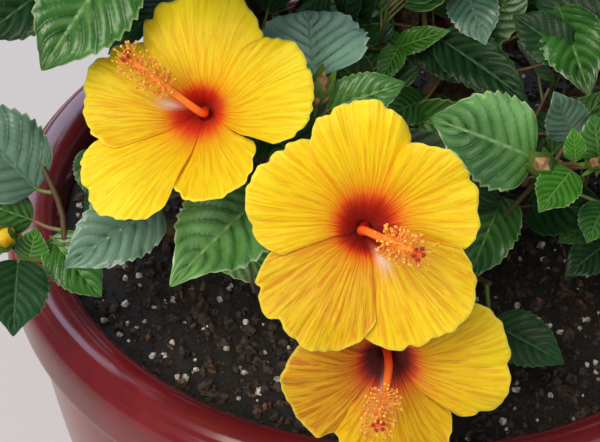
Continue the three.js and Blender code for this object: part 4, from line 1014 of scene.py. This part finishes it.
leafFinishes = {  # a waxy skin, dull on old leaves and glossy on sunlit ones; the sunlit ones are painted lighter, and the pale and greyed ones carry a painted blue-grey sheen of the sky
    "old": makeLeafFinish("waxy old leaf", "#0D2E12", "#1A421E", "#3C6240", "#4E7450", 0.46, 0.22),
    "grown": makeLeafFinish("waxy grown leaf", "#1C4E16", "#2E6E22", "#588A40", "#A5BE82", 0.34),
    "young": makeLeafFinish("soft young leaf", "#1F5A0A", "#3A8214", "#6CA638", "#B7D27E", 0.4),
    "light": makeLeafFinish("sunlit grown leaf", "#387030", "#66A054", "#84AC6A", "#BCD4A2", 0.27, 0.65,
                            furrowShadeTone="#3E5E42"),
    "pale": makeLeafFinish("pale waxy leaf", "#649480", "#8CB6A2", "#709C84", "#B8CEC0", 0.36),
    "greyed": makeLeafFinish("leaf with a blue-grey bloom", "#3E6656", "#628876", "#507A62", "#A9BFAE", 0.34),
}
unitLeaves = []
for index, (fold, bend, phase) in enumerate(leafShapes):
    points, faces, maps = leafSurface(17, 4, fold, bend, phase=phase)
    unitLeaves.append(newPiece(f"leafShape{index}", points / mm, faces))
    setMap(unitLeaves[-1], "leafMap", maps)
leafVariants = newShapes("leafShapes", unitLeaves)
for number, (age, found) in enumerate(leaves.items()):
    turns = [turnTo(tip - foot, face) for foot, tip, _, face in found]
    lengths = [np.linalg.norm(tip - foot) * mm for foot, tip, *_ in found]
    sizes = [(length, leaf[2] * mm / rule["widthShare"], length) for length, leaf in zip(lengths, found)]
    spray = makeSpray(f"leaves_{age}", [foot for foot, *_ in found], turns, sizes, leafVariants,
                      leafFinishes[age], seed=7)
    dress(spray, list(masses)[number::3])

faceLeafForm = {"stations": 67, "columns": 20, "wave": 0.02, "quilt": 0.042, "teeth": 11, "toothDepth": 0.11}
phaseStep = 0.37  # each leaf's margin waves at its own place
for age, finish in leafFinishes.items():  # the leaves round the front blooms have three finishes more, one painted lighter and two with a painted sky sheen
    points, faces, maps = [], [], []
    for index, (foot, tip, width, face, fold, bend, faceLeafKind) in enumerate(heroLeaves):
        if faceLeafKind == age:
            leafPoints, leafFaces, leafMaps = leafSurface(
                **faceLeafForm, fold=fold, bend=bend, phase=index * phaseStep)
            way, side = tip - foot, np.cross(face, tip - foot)
            length = np.linalg.norm(way)
            ways = np.array([unit(way), unit(side), unit(np.cross(way, side))])
            scaled = leafPoints * (length, width / rule["widthShare"], length)
            addTo(points, faces, foot + scaled @ ways, leafFaces)
            maps.extend(leafMaps)
    piece = newPiece(f"face_leaves_{age}", points, faces, finish)
    setMap(piece, "leafMap", maps)
    dress(piece)
print("leaves done")


# Petals: thin, satin and slightly translucent, grooved along their veins, with a ruffled edge.
# Their 42 veins are about 2 mm apart, coarser than real ones, so that they show.
petal = {"thickness": 0.5, "rows": 32, "columns": 76, "rowPower": 1.2, "lift": 1.7, "ruffle": 2.2,
         "veins": (42.0, 4.0, 1.0), "pleats": 13, "pleatDepth": 0.5, "corners": 0.29,
         "edgeWaves": [(0.014, 7, 0), (0.011, 17, 4), (0.006, 41, 6)],  # depth, turns, turns of its swell
         "nicks": 3, "nickDepth": 0.035, "nickWidth": 0.05, "recurve": 1.8, "recurveFrom": 0.82,
         "marginFrom": 0.965, "overlap": 4, "mapReach": 80, "streakNarrowing": 3.4, "streakReach": 18,
         "streakLength": 6, "bendHeights": (-22, -8, 4),
         "reach": [2.6, 3.4, 6, 10, 15, 22, 36, 50, 62, 72],
         "height": [-22, -11, -6.5, -3, 1, 5.2, 12, 17.5, 20, 20.5]}


def bloomFrame(bloom):
    right = unit(np.cross(upward, bloom["axis"]))
    return np.array([right, np.cross(bloom["axis"], right), bloom["axis"]])


def petalSurface(bloom, number, draw):
    centre, halfSpread, length, rise, gold = bloom["petals"][number]
    before, after = bloom["petals"][number - 1], bloom["petals"][(number + 1) % 5]
    out, across = np.meshgrid(np.linspace(0, 1, petal["rows"]) ** petal["rowPower"],
                              np.linspace(-1, 1, petal["columns"]), indexing="ij")
    phases = [fullTurn * draw() for _ in range(6)]
    edge = 1 - petal["corners"] * np.abs(across) ** 2.8
    for k, (depth, turns, swellTurns) in enumerate(petal["edgeWaves"]):
        swell = np.sin(swellTurns * across + phases[k + 1]) if swellTurns else 1
        edge += depth * np.sin(turns * across + phases[k]) * swell
    for _ in range(petal["nicks"]):  # small nicks in the margin
        depth = petal["nickDepth"] * (0.3 + draw())
        edge -= depth * np.exp(-((across - 1.6 * draw() + 0.8) / petal["nickWidth"]) ** 2)
    radius = lerp((petal["reach"][0], edge * length), out)
    closed = np.where(across < 0, (centre - before[0]) % 360, (after[0] - centre) % 360) / 2
    closed += petal["overlap"]
    spread = lerp((closed, halfSpread), np.clip(out * 1.6, 0, 1))  # no gaps in the throat
    angle = np.radians(centre + bloom.get("roll", 0) + spread * across)
    lift = -petal["lift"] * across * bloom["overlap"] * np.clip(out * 2, 0, 1)
    waves = np.sin(5.2 * across + phases[3]) + 0.4 * np.sin(13 * across + phases[4])
    ruffle = petal["ruffle"] * out**3 * waves
    folds = np.sin(petal["pleats"] * math.pi * (across + 0.08 * np.sin(5 * across + phases[5])) + phases[1])
    pleat = petal["pleatDepth"] * folds * np.clip(out * 1.5 - 0.15, 0, 1)
    pleat *= 0.7 + 0.3 * np.sin(7 * across + phases[2])
    neighbour = np.where(across < 0, before[3], after[3])
    height = np.interp(radius, petal["reach"], petal["height"]) + lift + ruffle + pleat
    height += (rise + (neighbour - rise) / 2 * across**2) * out**2 * 2
    turned = np.clip((out - petal["recurveFrom"]) / (1 - petal["recurveFrom"]), 0, 1) ** 2
    height -= petal["recurve"] * np.cos(angle) * turned  # the margin turns to the light
    shift = np.interp(height, petal["bendHeights"], (0, 1, 0))
    sideways, upwards = bloom.get("throatShift", (0, 2))
    right, up = np.sin(angle) * radius, np.cos(angle) * radius
    points = np.stack([right + sideways * shift, up + upwards * shift, height], -1).reshape(-1, 3)
    redRight, redUp = bloom.get("redShift", (0, 0))  # the eye's colour sits a little off the middle
    reached = np.hypot(right - redRight, up - redUp) * bloom.get("redScale", 1)
    maps = np.stack([(across + 1) / 2, reached / petal["mapReach"]], -1).reshape(-1, 2)
    streakPetal, streakPlace = bloom["streak"]
    streak = np.exp(-((radius - petal["streakReach"]) / petal["streakLength"]) ** 2) * (number == streakPetal)
    streak *= np.clip(1 - np.abs(across - streakPlace) * petal["streakNarrowing"], 0, 1)
    # the margin is where the finish paints a highlight along the thin petal edge
    margin = np.clip((out - petal["marginFrom"]) / (1 - petal["marginFrom"]), 0, 1)
    # the throat look carries each bloom's painted shade in the eye
    looks = {"streak": streak.ravel(), "margin": margin.ravel(), "gold": [gold] * len(points),
             "throat": [bloom.get("paintedEyeShade", 0.4)] * len(points)}
    return points, gridFaces(petal["rows"], petal["columns"]), maps, looks


def makePetalFinish():
    finish, tree, shader = newFinish("satin hibiscus petal", {
        "Roughness": 0.5, "Subsurface Weight": 0.45, "Subsurface Radius": (0.005, 0.003, 0.0005),
        "Subsurface Scale": 1.0, "Sheen Weight": 0.05, "Sheen Roughness": 0.4, "Specular IOR Level": 0.25})
    throat, gold, margin, streak = [  # painted shade in the eye, painted shade that makes the petal a darker gold, the painted highlight of its thin edge, its mark
        addNode(tree, "ShaderNodeAttribute", attribute_name=name).outputs["Fac"]
        for name in ("throat", "gold", "margin", "streak")]
    spot = addNode(tree, "ShaderNodeUVMap", uv_map="petalMap")
    veinSpace = addNode(tree, "ShaderNodeMapping", {0: spot, "Scale": petal["veins"]})
    veins = addNode(tree, "ShaderNodeTexNoise",
                    {"Vector": veinSpace, "Scale": 1.0, "Detail": 4.0, "Roughness": 0.6, "Distortion": 0.4},
                    noise_dimensions="2D")
    outward = addNode(tree, "ShaderNodeSeparateXYZ", {0: spot}).outputs["Y"]
    feather = addNode(tree, "ShaderNodeMath", {0: veins, 1: 0.09, 2: -0.045}, operation="MULTIPLY_ADD")
    reach = addNode(tree, "ShaderNodeMath", {0: outward, 1: feather}, operation="ADD")
    tone = addNode(tree, "ShaderNodeValToRGB", {"Fac": reach}, [  # red in the eye, orange round it, yellow
        (0.03, "#AC0C06"), (0.1, "#CE1A0A"), (0.15, "#E63010"), (0.185, "#F85C1C"), (0.215, "#FD8C14"),
        (0.255, "#FDB00E"), (0.36, "#FEC80C"), (0.7, "#FED616"), (0.88, "#FEDE20")])
    inside, deep, lessOutwards = [
        addNode(tree, "ShaderNodeMapRange",
                {"Value": source, "From Min": near, "From Max": far, "To Min": least, "To Max": most})
        for source, near, far, least, most in [
            (reach, 0.2, 0.13, 0.0, 1.0), (veins, 0.36, 0.55, 0.65, 0.0), (outward, 0.2, 0.75, 1.0, 0.5)]]
    shaded, dark, veinShade, thin, faint = [
        addNode(tree, "ShaderNodeMath", {0: one, 1: other}, operation="MULTIPLY")
        for one, other in [(inside, throat), (deep, lessOutwards), (deep, gold), (margin, 0.7),
                           (streak, 0.85)]]
    colour = tone
    for strength, over, blend in [  # painted shade in the eye, grooves, painted shade as a darker gold, painted shade that browns its veins, a painted highlight on the thin edge, pale mark
            (shaded, "#420200", "MIX"), (dark, "#F2B020", "MULTIPLY"), (gold, "#CCAE50", "MULTIPLY"),
            (veinShade, "#C69A50", "MULTIPLY"), (thin, "#FFE352", "MIX"), (faint, "#FAD6CC", "MIX")]:
        colour = addNode(tree, "ShaderNodeMix", {0: strength, 6: colour, 7: over},
                         data_type="RGBA", blend_type=blend)
    bump = addNode(tree, "ShaderNodeBump", {"Height": veins, "Strength": 0.65, "Distance": 0.0012})
    setSockets(shader, {"Base Color": colour, "Normal": bump})
    return finish


petalFinish = makePetalFinish()
for index, (name, bloom) in enumerate(blooms.items()):
    points, faces, maps, looks = [], [], [], {}
    draw = seededDraw(1009 + 59 * index)
    for number in range(len(bloom["petals"])):
        petalPoints, petalFaces, petalMaps, petalLooks = petalSurface(bloom, number, draw)
        addTo(points, faces, petalPoints, petalFaces)
        maps.extend(petalMaps)
        for look, values in petalLooks.items():
            looks.setdefault(look, []).extend(values)
    placed = bloom["eye"] + np.array(points) @ bloomFrame(bloom)
    piece = newPiece(f"petals_{name}", placed, flipped(faces), petalFinish)
    setMap(piece, "petalMap", maps)
    for look, values in looks.items():
        setAttribute(piece, look, values)
    wall = piece.modifiers.new("petal thickness", "SOLIDIFY")
    wall.thickness = petal["thickness"] * mm
    wall.offset = 0
    dress(piece, [name])
print("petals done")


# The column: a fleshy tube from orange-red to yellow, hung with stamens and ended by five pads.
def makeFleshFinish():  # soft and waxy, so light sinks in a little
    finish, tree, shader = newFinish("fleshy column", {
        "Roughness": 0.42, "Subsurface Weight": 0.1, "Subsurface Radius": (0.003, 0.0015, 0.0005),
        "Subsurface Scale": 1.0})
    share = addNode(tree, "ShaderNodeAttribute", attribute_name="share").outputs["Fac"]
    tone = addNode(tree, "ShaderNodeValToRGB", {"Fac": share},
                   [(0.3, "#C01A0A"), (0.55, "#E8481A"), (0.72, "#F67628"), (0.9, "#FA9C3C")])
    addSkin(tree, shader, tone, 0.8333, 0.3, 0.0002)
    return finish


def makePlainFinish(name, low, high, roughness, width=1.4286):  # two tones in flecks, and their relief
    finish, tree, shader = newFinish(name, {"Roughness": roughness})
    place = addNode(tree, "ShaderNodeTexCoord").outputs["Object"]
    fleck = addNode(tree, "ShaderNodeTexNoise", {"Vector": place, "Scale": perMetre(width), "Detail": 3.0})
    tone = addNode(tree, "ShaderNodeValToRGB", {"Fac": fleck}, [(0.4, low), (0.6, high)])
    bump = addNode(tree, "ShaderNodeBump", {"Height": fleck, "Strength": 0.5, "Distance": 0.0004})
    setSockets(shader, {"Base Color": tone, "Normal": bump})
    return finish


column = {"radii": (2.6, 1.7), "footRadii": (3.5, 2.4), "steps": 36, "foot": (5, 14), "low": 2, "bend": -8,
          "knee": 9, "kneeShift": 0.4, "stamens": 130, "stamenSpan": (0.82, 1.0), "stamenLength": (4.5, 13),
          "stamenReach": (0.35, 0.65), "lean": (-0.1, 0.5), "outerLean": 1.2, "curl": 0.8,
          "threadRadii": (0.3, 0.22), "antherSize": (1.6, 1.6, 1.28), "pads": 5, "padLean": 0.75,
          "padSize": (2.1, 2.1, 1.785), "styleLength": 4.5, "styleRadii": (0.7, 0.5), "seed": 41}


def makeColumns():
    tubes, feet, threads, styles = [], [], [], []
    antherPlaces, antherTurns, padPlaces = [], [], []
    draw = seededDraw(column["seed"])
    for bloom in blooms.values():
        eye, axis = bloom["eye"], bloom["axis"]
        end = eye + bloom["column"]
        sideways, upwards = bloom.get("throatShift", (0, 2))
        shift = bloomFrame(bloom)[0] * sideways + bloomFrame(bloom)[1] * upwards
        foot = eye - axis * (growth["throatDepth"] - column["low"])
        knee = eye + axis * column["knee"] + shift * column["kneeShift"]
        path = smoothPath([foot, eye + axis * column["bend"] + shift, knee, end], column["steps"])
        tubes.append((path, *column["radii"]))
        feet.append((path[slice(*column["foot"])], *column["footRadii"]))
        for i in range(column["stamens"]):
            outer = (i + draw()) / column["stamens"]
            root, direction, level, rising = waysAt(path, lerp(column["stamenSpan"], outer))
            turn = i * goldenAngle + draw()
            lean = drawn(column["lean"], draw) + column["outerLean"] * outer**2
            way = unit(swing(level, rising, turn) + direction * lean)
            reach = drawn(column["stamenReach"], draw) * lerp((column["stamenReach"][0], 1), outer)
            tip = root + way * lerp(column["stamenLength"], reach)
            middle = (root + tip) / 2 + direction * column["curl"] * draw()
            threads.append((smoothPath([root, middle, tip], 3), *column["threadRadii"]))
            antherPlaces.append(tip)
            antherTurns.append((draw() * 6, draw() * 6, draw() * 6))
        _, endWay, level, rising = waysAt(path, 1)
        for k in range(column["pads"]):
            way = unit(endWay + swing(level, rising, fullTurn * k / column["pads"]) * column["padLean"])
            tip = end + way * column["styleLength"]
            padPlaces.append(tip)
            styles.append((smoothPath([end - endWay, end + endWay * 2, tip], 4), *column["styleRadii"]))
    for name, parts, sides, finish in [  # waxy flesh, a deep red foot, clear orange threads and styles
            ("columns", tubes, 12, makeFleshFinish()),
            ("column_feet", feet, 16, makePlainFinish("crimson throat", "#8E0A04", "#B81408", 0.5)),
            ("stamen_threads", threads, 4, makePlainFinish("stamen thread", "#F08A2A", "#F6B04A", 0.5)),
            ("styles", styles, 6, makePlainFinish("waxy style", "#E0431E", "#EE6A2C", 0.45))]:
        dress(makeTubes(name, parts, sides, finish))
    still = [(0, 0, 0)] * len(padPlaces)
    for name, places, turns, ball, size, finish, variation, seed in [  # dusty grains, and dull velvet pads
            ("anthers", antherPlaces, antherTurns, (4, 6, 0.6, 0.2), column["antherSize"],
             makePlainFinish("pollen-dusted anther", "#D4761E", "#F7C552", 0.85, 1.1111), 0.3, 5),
            ("stigma_pads", padPlaces, still, (8, 12, 0.55, 0), column["padSize"],
             makePlainFinish("velvety stigma pad", "#7E0F14", "#B0261F", 0.7, 0.6667), 0.1, 3)]:
        rings, sides, roundness, lobe = ball
        points, faces = ballSurface(rings, sides, lambda share, angle: (
            0.5 * math.sin(math.pi * share) ** roundness * (1 + lobe * math.cos(angle))))
        shapes = newShapes(name + "Shapes", [newPiece(name + "Shape", (points - (0, 0, 0.5)) / mm, faces)])
        sizes = [np.array(size) * mm] * len(places)
        dress(makeSpray(name, places, turns, sizes, shapes, finish, variation, seed))


makeColumns()
print("columns done")


# Calyxes, their bracts and the buds: ribbed green cups, dull and a little downy.
calyx = {"radius": 6.8, "length": 22, "lobes": 5, "lobeDepth": 0.38, "ribs": 10, "ribDepth": 0.04,
         "flare": 0.12, "sunk": 2, "budGirth": 1.06, "least": 0.4, "bracts": 7, "bractLength": 13,
         "bractWidth": 0.35, "bractRoot": 1.6, "bractLean": (0.8, 0.75), "sides": 30, "rows": 10}
budForm = {"rings": 16, "sides": 25, "girth": 0.92, "fullest": 0.66, "folds": 5, "foldDepth": 0.09,
           "twist": 7, "opening": 0.2}


def makeCalyxes():
    green = makeTwigFinish("downy calyx", "#3F6A24", "#6C8F3A", 0.6)
    dress(makeTubes("bloom_shoots", [(path, *growth["shootRadii"]) for path in shoots], 8, green))
    points, faces, bractPlaces, bractTurns = [], [], [], []

    def addCup(foot, way, radius, length):
        side, rising = squareTo(way)
        cup = []
        for i in range(calyx["rows"] + 1):
            share = i / calyx["rows"]
            for k in range(calyx["sides"]):
                angle = fullTurn * k / calyx["sides"]
                lobe = 0.5 + 0.5 * math.cos(angle * calyx["lobes"])
                reach = share * (1 - calyx["lobeDepth"] + calyx["lobeDepth"] * lobe ** 0.7)
                ring = radius * math.sin(min(share * 1.25, 1) * math.pi / 2) ** 0.6
                ring *= 1 + calyx["ribDepth"] * math.cos(angle * calyx["ribs"])
                ring = max(ring * (1 + calyx["flare"] * share**2), calyx["least"])
                cup.append(foot + way * length * reach + swing(side, rising, angle) * ring)
        addTo(points, faces, cup, flipped(gridFaces(calyx["rows"] + 1, calyx["sides"], closed=True)))
        for k in range(calyx["bracts"]):
            outward = swing(side, rising, fullTurn * (k + 0.3) / calyx["bracts"])
            bractPlaces.append(foot + outward * calyx["bractRoot"])
            onward, aside = calyx["bractLean"]
            bractTurns.append(turnTo(way * onward + outward * aside, way - outward))
    for bloom in blooms.values():
        foot = bloom["eye"] - bloom["axis"] * (growth["throatDepth"] + growth["calyxDrop"] + calyx["sunk"])
        addCup(foot, bloom["axis"], calyx["radius"], calyx["length"])
    for foot, tip, radius, *_ in budPlaces:
        addCup(foot, unit(tip - foot), radius * calyx["budGirth"], np.linalg.norm(tip - foot))
    dress(newPiece("calyxes", points, faces, green))
    leafPoints, leafFaces, _ = leafSurface(7, 2, 0.3, -0.1, toothDepth=0)
    narrow = leafPoints / mm * (1, calyx["bractWidth"], 1)
    bract = newShapes("bractShapes", [newPiece("bractShape", narrow, leafFaces)])
    sizes = [(calyx["bractLength"] * mm,) * 3] * len(bractPlaces)
    dress(makeSpray("bracts", bractPlaces, bractTurns, sizes, bract, green, 0.15, 9))
    for name, isYellow, finish in [  # papery and dull where furled, soft satin where the yellow shows
            ("furled_buds", False, makePlainFinish("furled blush petals", "#866446", "#C29C78", 0.6, 3.846)),
            ("yellow_bud", True, makePlainFinish("furled yellow petals", "#D8A21C", "#F2D432", 0.5, 11.11))]:
        ball, ballFaces = ballSurface(budForm["rings"], budForm["sides"], lambda share, angle: (
            math.sin(math.pi * share ** budForm["fullest"]) ** 1.05
            * (1 + budForm["foldDepth"] * math.cos(budForm["folds"] * angle + budForm["twist"] * share))))
        points, faces = [], []
        for foot, tip, radius, opened, yellow in budPlaces:
            if yellow == isYellow:
                side, rising = squareTo(unit(tip - foot))
                long = (tip - foot) * (1 + budForm["opening"] * opened)
                wide = radius * budForm["girth"]
                bud = foot + ball @ np.array([side * wide, rising * wide, long])
                addTo(points, faces, bud, flipped(ballFaces))
        dress(newPiece(name, points, faces, finish))


makeCalyxes()
print("calyxes and buds done")


# Planter: oxblood glaze on stoneware, deep and glossy, with thin browner flecks.
pot = {"segments": 160, "height": 360, "footRadius": 165, "footHeight": 4, "shoulderRadius": 238,
       "lipHeight": 46, "rimInner": 214, "rimInnerHeight": 334, "wall": 15, "floor": 18, "belly": (215, 140),
       "shoulderInset": 6, "shoulderDrop": 40, "bodyRings": 34, "bulge": (-14, 0.4), "groove": 4,
       "lipSteps": 84, "poolWidth": 111.1, "fleckWidth": 6.25, "waveWidth": 38.46}
potLip = [(245, 315.5), (247.4, 320), (248, 330), (247.9, 341), (246.8, 347.6), (244.4, 351.6),
          (241.9, 353.4), (239.8, 356.4), (236.6, 358.9), (231.5, 360), (225.2, 359.2), (219.2, 356),
          (215.2, 349.5), (212.5, 339)]  # radius and height, from the groove over the lip to the soil


def potProfile():
    foot, shoulder, wall, floor = pot["footRadius"], pot["shoulderRadius"], pot["wall"], pot["floor"]
    lipLow = pot["height"] - pot["lipHeight"]
    start, end = np.array([(foot, pot["footHeight"]), (shoulder, lipLow - pot["groove"])])
    bend = np.array([shoulder + pot["bulge"][0], lipLow * pot["bulge"][1]])
    shares = np.linspace(0, 1, pot["bodyRings"])[:, None]
    body = start * (1 - shares) ** 2 + bend * 2 * shares * (1 - shares) + end * shares**2
    lip = smoothPath([(radius, height, 0) for radius, height in potLip], pot["lipSteps"])[:, :2]
    inner = [(pot["rimInner"] - 2, pot["rimInnerHeight"]),
             (shoulder - wall - pot["shoulderInset"], lipLow - pot["shoulderDrop"]),
             (pot["belly"][0] - wall, pot["belly"][1]), (foot - wall, floor), (0, floor)]
    return [(0, 0), (foot - 5, 0), (foot - 1.2, 1.2), *body.tolist(), (shoulder + 0.4, lipLow - 1.5),
            (shoulder + 2.5, lipLow + 0.5), *lip.tolist(), *inner]


def makeGlazeFinish():
    finish, tree, shader = newFinish("oxblood glazed stoneware", {"Roughness": 0.2, "IOR": 1.5})
    place = addNode(tree, "ShaderNodeTexCoord").outputs["Object"]
    pools = addNode(tree, "ShaderNodeTexNoise",
                    {"Vector": place, "Scale": perMetre(pot["poolWidth"]), "Detail": 4.0, "Roughness": 0.55})
    flecks = addNode(tree, "ShaderNodeTexNoise",
                     {"Vector": place, "Scale": perMetre(pot["fleckWidth"]), "Detail": 3.0})
    tone = addNode(tree, "ShaderNodeValToRGB", {"Fac": pools},
                   [(0.3, "#501216"), (0.5, "#6A181C"), (0.72, "#82262A")])
    thin = addNode(tree, "ShaderNodeMapRange",
                   {"Value": flecks, "From Min": 0.58, "From Max": 0.75, "To Max": 0.35})
    broken = addNode(tree, "ShaderNodeMix", {0: thin, 6: tone, 7: "#5A2A1E"}, data_type="RGBA")
    addSkin(tree, shader, broken, pot["waveWidth"], 0.35, 0.0012)
    return finish


profile = potProfile()
points = [(0, 0, profile[0][1])]
for radius, height in profile[1:-1]:
    points += ringOf(radius, height, pot["segments"])
points.append((0, 0, profile[-1][1]))
faces = turnedFaces(len(profile) - 2, pot["segments"])
dress(newPiece("planter", points, faces, makeGlazeFinish()), ["pot"])
print("planter done")


# Potting mix: dark and moist, with clods, crumbs, bark chips and white perlite.
soil = {"radius": 211.9, "rings": 120, "segments": 320, "heap": 4.8, "heapRadii": (34, 160), "rough": 1.76,
        "depth": 22, "foot": 0.985, "strewnRadius": 206.9, "strewnSides": 24, "lift": 0.4}
# How many a square metre, their sizes, the shapes' rings and proportions, and their looks: damp
# clods and crumbs are near black and dull, chips brown, and perlite chalky white.
soilBits = {
    "soil_clods": (30000, (0.0015, 0.0105), 5, [(1, 1, 0.8), (1, 0.8, 0.7)],
                   "damp clod", "#0A0806", "#40332A"),
    "perlite": (7600, (0.0016, 0.0056), 5, [(1, 1, 1), (1, 0.8, 0.9)],
                "perlite grain", "#77736E", "#CBC7C0"),
    "bark_chips": (4200, (0.004, 0.014), 5, [(1, 0.35, 0.2), (1, 0.55, 0.25)],
                   "bark chip", "#2A1810", "#6B4A36"),
    "soil_crumbs": (80000, (0.0009, 0.0034), 4, [(1, 1, 0.8), (1, 0.7, 0.7)],
                    "damp crumb", "#0A0806", "#3C3026"),
}


def soilHeight(x, y):
    inner, outer = soil["heapRadii"]
    heap = soil["heap"] * min(max((outer - math.hypot(x, y)) / (outer - inner), 0), 1)
    lumps = noise.noise(Vector((x, y, 0)) * 0.035) * 1.6 + noise.noise(Vector((x, y, 7)) * 0.14)
    lumps += noise.noise(Vector((x, y, 3)) * 0.33) * 0.6
    return soilTop + heap + soil["rough"] * lumps


def pebble(name, squash, seed, rings, rough=0.25):
    draw = seededDraw(seed)
    points, faces = ballSurface(rings, rings + 1, lambda share, angle: 0.5 * math.sin(math.pi * share) ** 0.7)
    points = [point * (1 + rough * (draw() - 0.5) * 2) * squash for point in points - (0, 0, 0.5)]
    return newPiece(name, np.array(points) / mm, faces, smooth=False)


def makeSoil():
    radius, rings, segments, low = soil["radius"], soil["rings"], soil["segments"], soilTop - soil["depth"]
    points = [(0, 0, 0)]
    for i in range(1, rings + 1):
        points += ringOf(radius * i / rings, 0, segments)
    points = [(x, y, soilHeight(x, y)) for x, y, _ in points]
    points += [*ringOf(radius * soil["foot"], low, segments), (0, 0, low)]
    faces = flipped(turnedFaces(rings + 1, segments))
    mix = makePlainFinish("moist potting mix", "#070504", "#1C1610", 0.92, 2.381)
    dress(newPiece("potting_mix", points, faces, mix), ["soil"])
    sides = soil["strewnSides"]
    disc = [(0, 0, soilTop), *ringOf(soil["strewnRadius"], soilTop, sides)]
    for number, (name, (count, sizes, bitRings, forms, *look)) in enumerate(soilBits.items()):
        shapes = newShapes(name + "Shapes", [pebble(f"{name}Shape{k}", np.array(form), 31 + 7 * k, bitRings)
                                             for k, form in enumerate(forms)])
        piece = newPiece(name, disc, [(0, 1 + k, 1 + (k + 1) % sides) for k in range(sides)])
        grow(piece, scatterTree, Shapes=shapes, PerSquareMetre=float(count), Smallest=sizes[0],
             Largest=sizes[1], Seed=11 + number, Finish=makePlainFinish(*look, 0.9, 3.333))
        settle(piece, len(shapes.objects[0].data.vertices))
        dress(piece)


def settle(piece, perBit):  # drops each bit onto the uneven surface
    places = np.zeros(len(piece.data.vertices) * 3)
    piece.data.vertices.foreach_get("co", places)
    bits = places.reshape(-1, perBit, 3)
    for bit in bits:
        x, y, _ = bit.mean(0) / mm
        bit[:, 2] += (soilHeight(x, y) - soilTop + soil["lift"]) * mm
    piece.data.vertices.foreach_set("co", bits.ravel())


makeSoil()
print("potting mix done")


# Floor, light and camera. The floor is matt and pale, so it takes soft shadows without a shine.
studio = {"floor": "#C4BDB5", "floorReach": 4000, "sky": "#CBD8EE", "skyStrength": 0.26, "aim": (0, 0, 0.45)}
lights = {  # place, width and height, power, colour
    "skyPanel": ((-1.2, 3.2, 3.0), (5.0, 3.6), 205, "#D8E2FF"),
    "keyPanel": ((-0.9, -1.7, 2.3), (1.8, 1.8), 82, "#FFF4E2"),
    "fillPanel": ((2.0, -0.8, 1.6), (1.6, 1.6), 10, "#FFFFFF"),
}
view = {"place": (-0.0617, -0.8428, 1.0368), "pitch": 39.97, "lens": 102, "sensor": 36, "nearest": 0.05}


def makeStudio():
    far = studio["floorReach"]
    finish, *_ = newFinish("matt studio floor", {"Base Color": studio["floor"], "Roughness": 0.8})
    corners = [(-far, -far, 0), (far, -far, 0), (far, far, 0), (-far, far, 0)]
    newPiece("floor", corners, [(0, 1, 2, 3)], finish)
    world = bpy.data.worlds.new("soft sky")
    world.use_nodes = True
    sky = world.node_tree.nodes["Background"]
    setSockets(sky, {"Color": studio["sky"], "Strength": studio["skyStrength"]})
    bpy.context.scene.world = world
    bpy.context.scene.view_settings.view_transform = "Standard"  # keeps the yellow as strong as it is
    for name, (place, size, power, colour) in lights.items():
        lamp = bpy.data.lights.new(name, "AREA")
        lamp.shape = "RECTANGLE"
        lamp.size, lamp.size_y = size
        lamp.energy = power
        lamp.color = linearColour(colour)[:3]
        stand = bpy.data.objects.new(name, lamp)
        stand.location = place
        stand.rotation_euler = (Vector(studio["aim"]) - Vector(place)).to_track_quat("-Z", "Y").to_euler()
        bpy.context.scene.collection.objects.link(stand)
    lens = bpy.data.cameras.new("camera")
    lens.lens, lens.sensor_width, lens.clip_start = view["lens"], view["sensor"], view["nearest"]
    camera = bpy.data.objects.new("camera", lens)
    camera.location = view["place"]
    camera.rotation_euler = (math.radians(90 - view["pitch"]), 0, 0)
    bpy.context.scene.collection.objects.link(camera)
    bpy.context.scene.camera = camera


makeStudio()
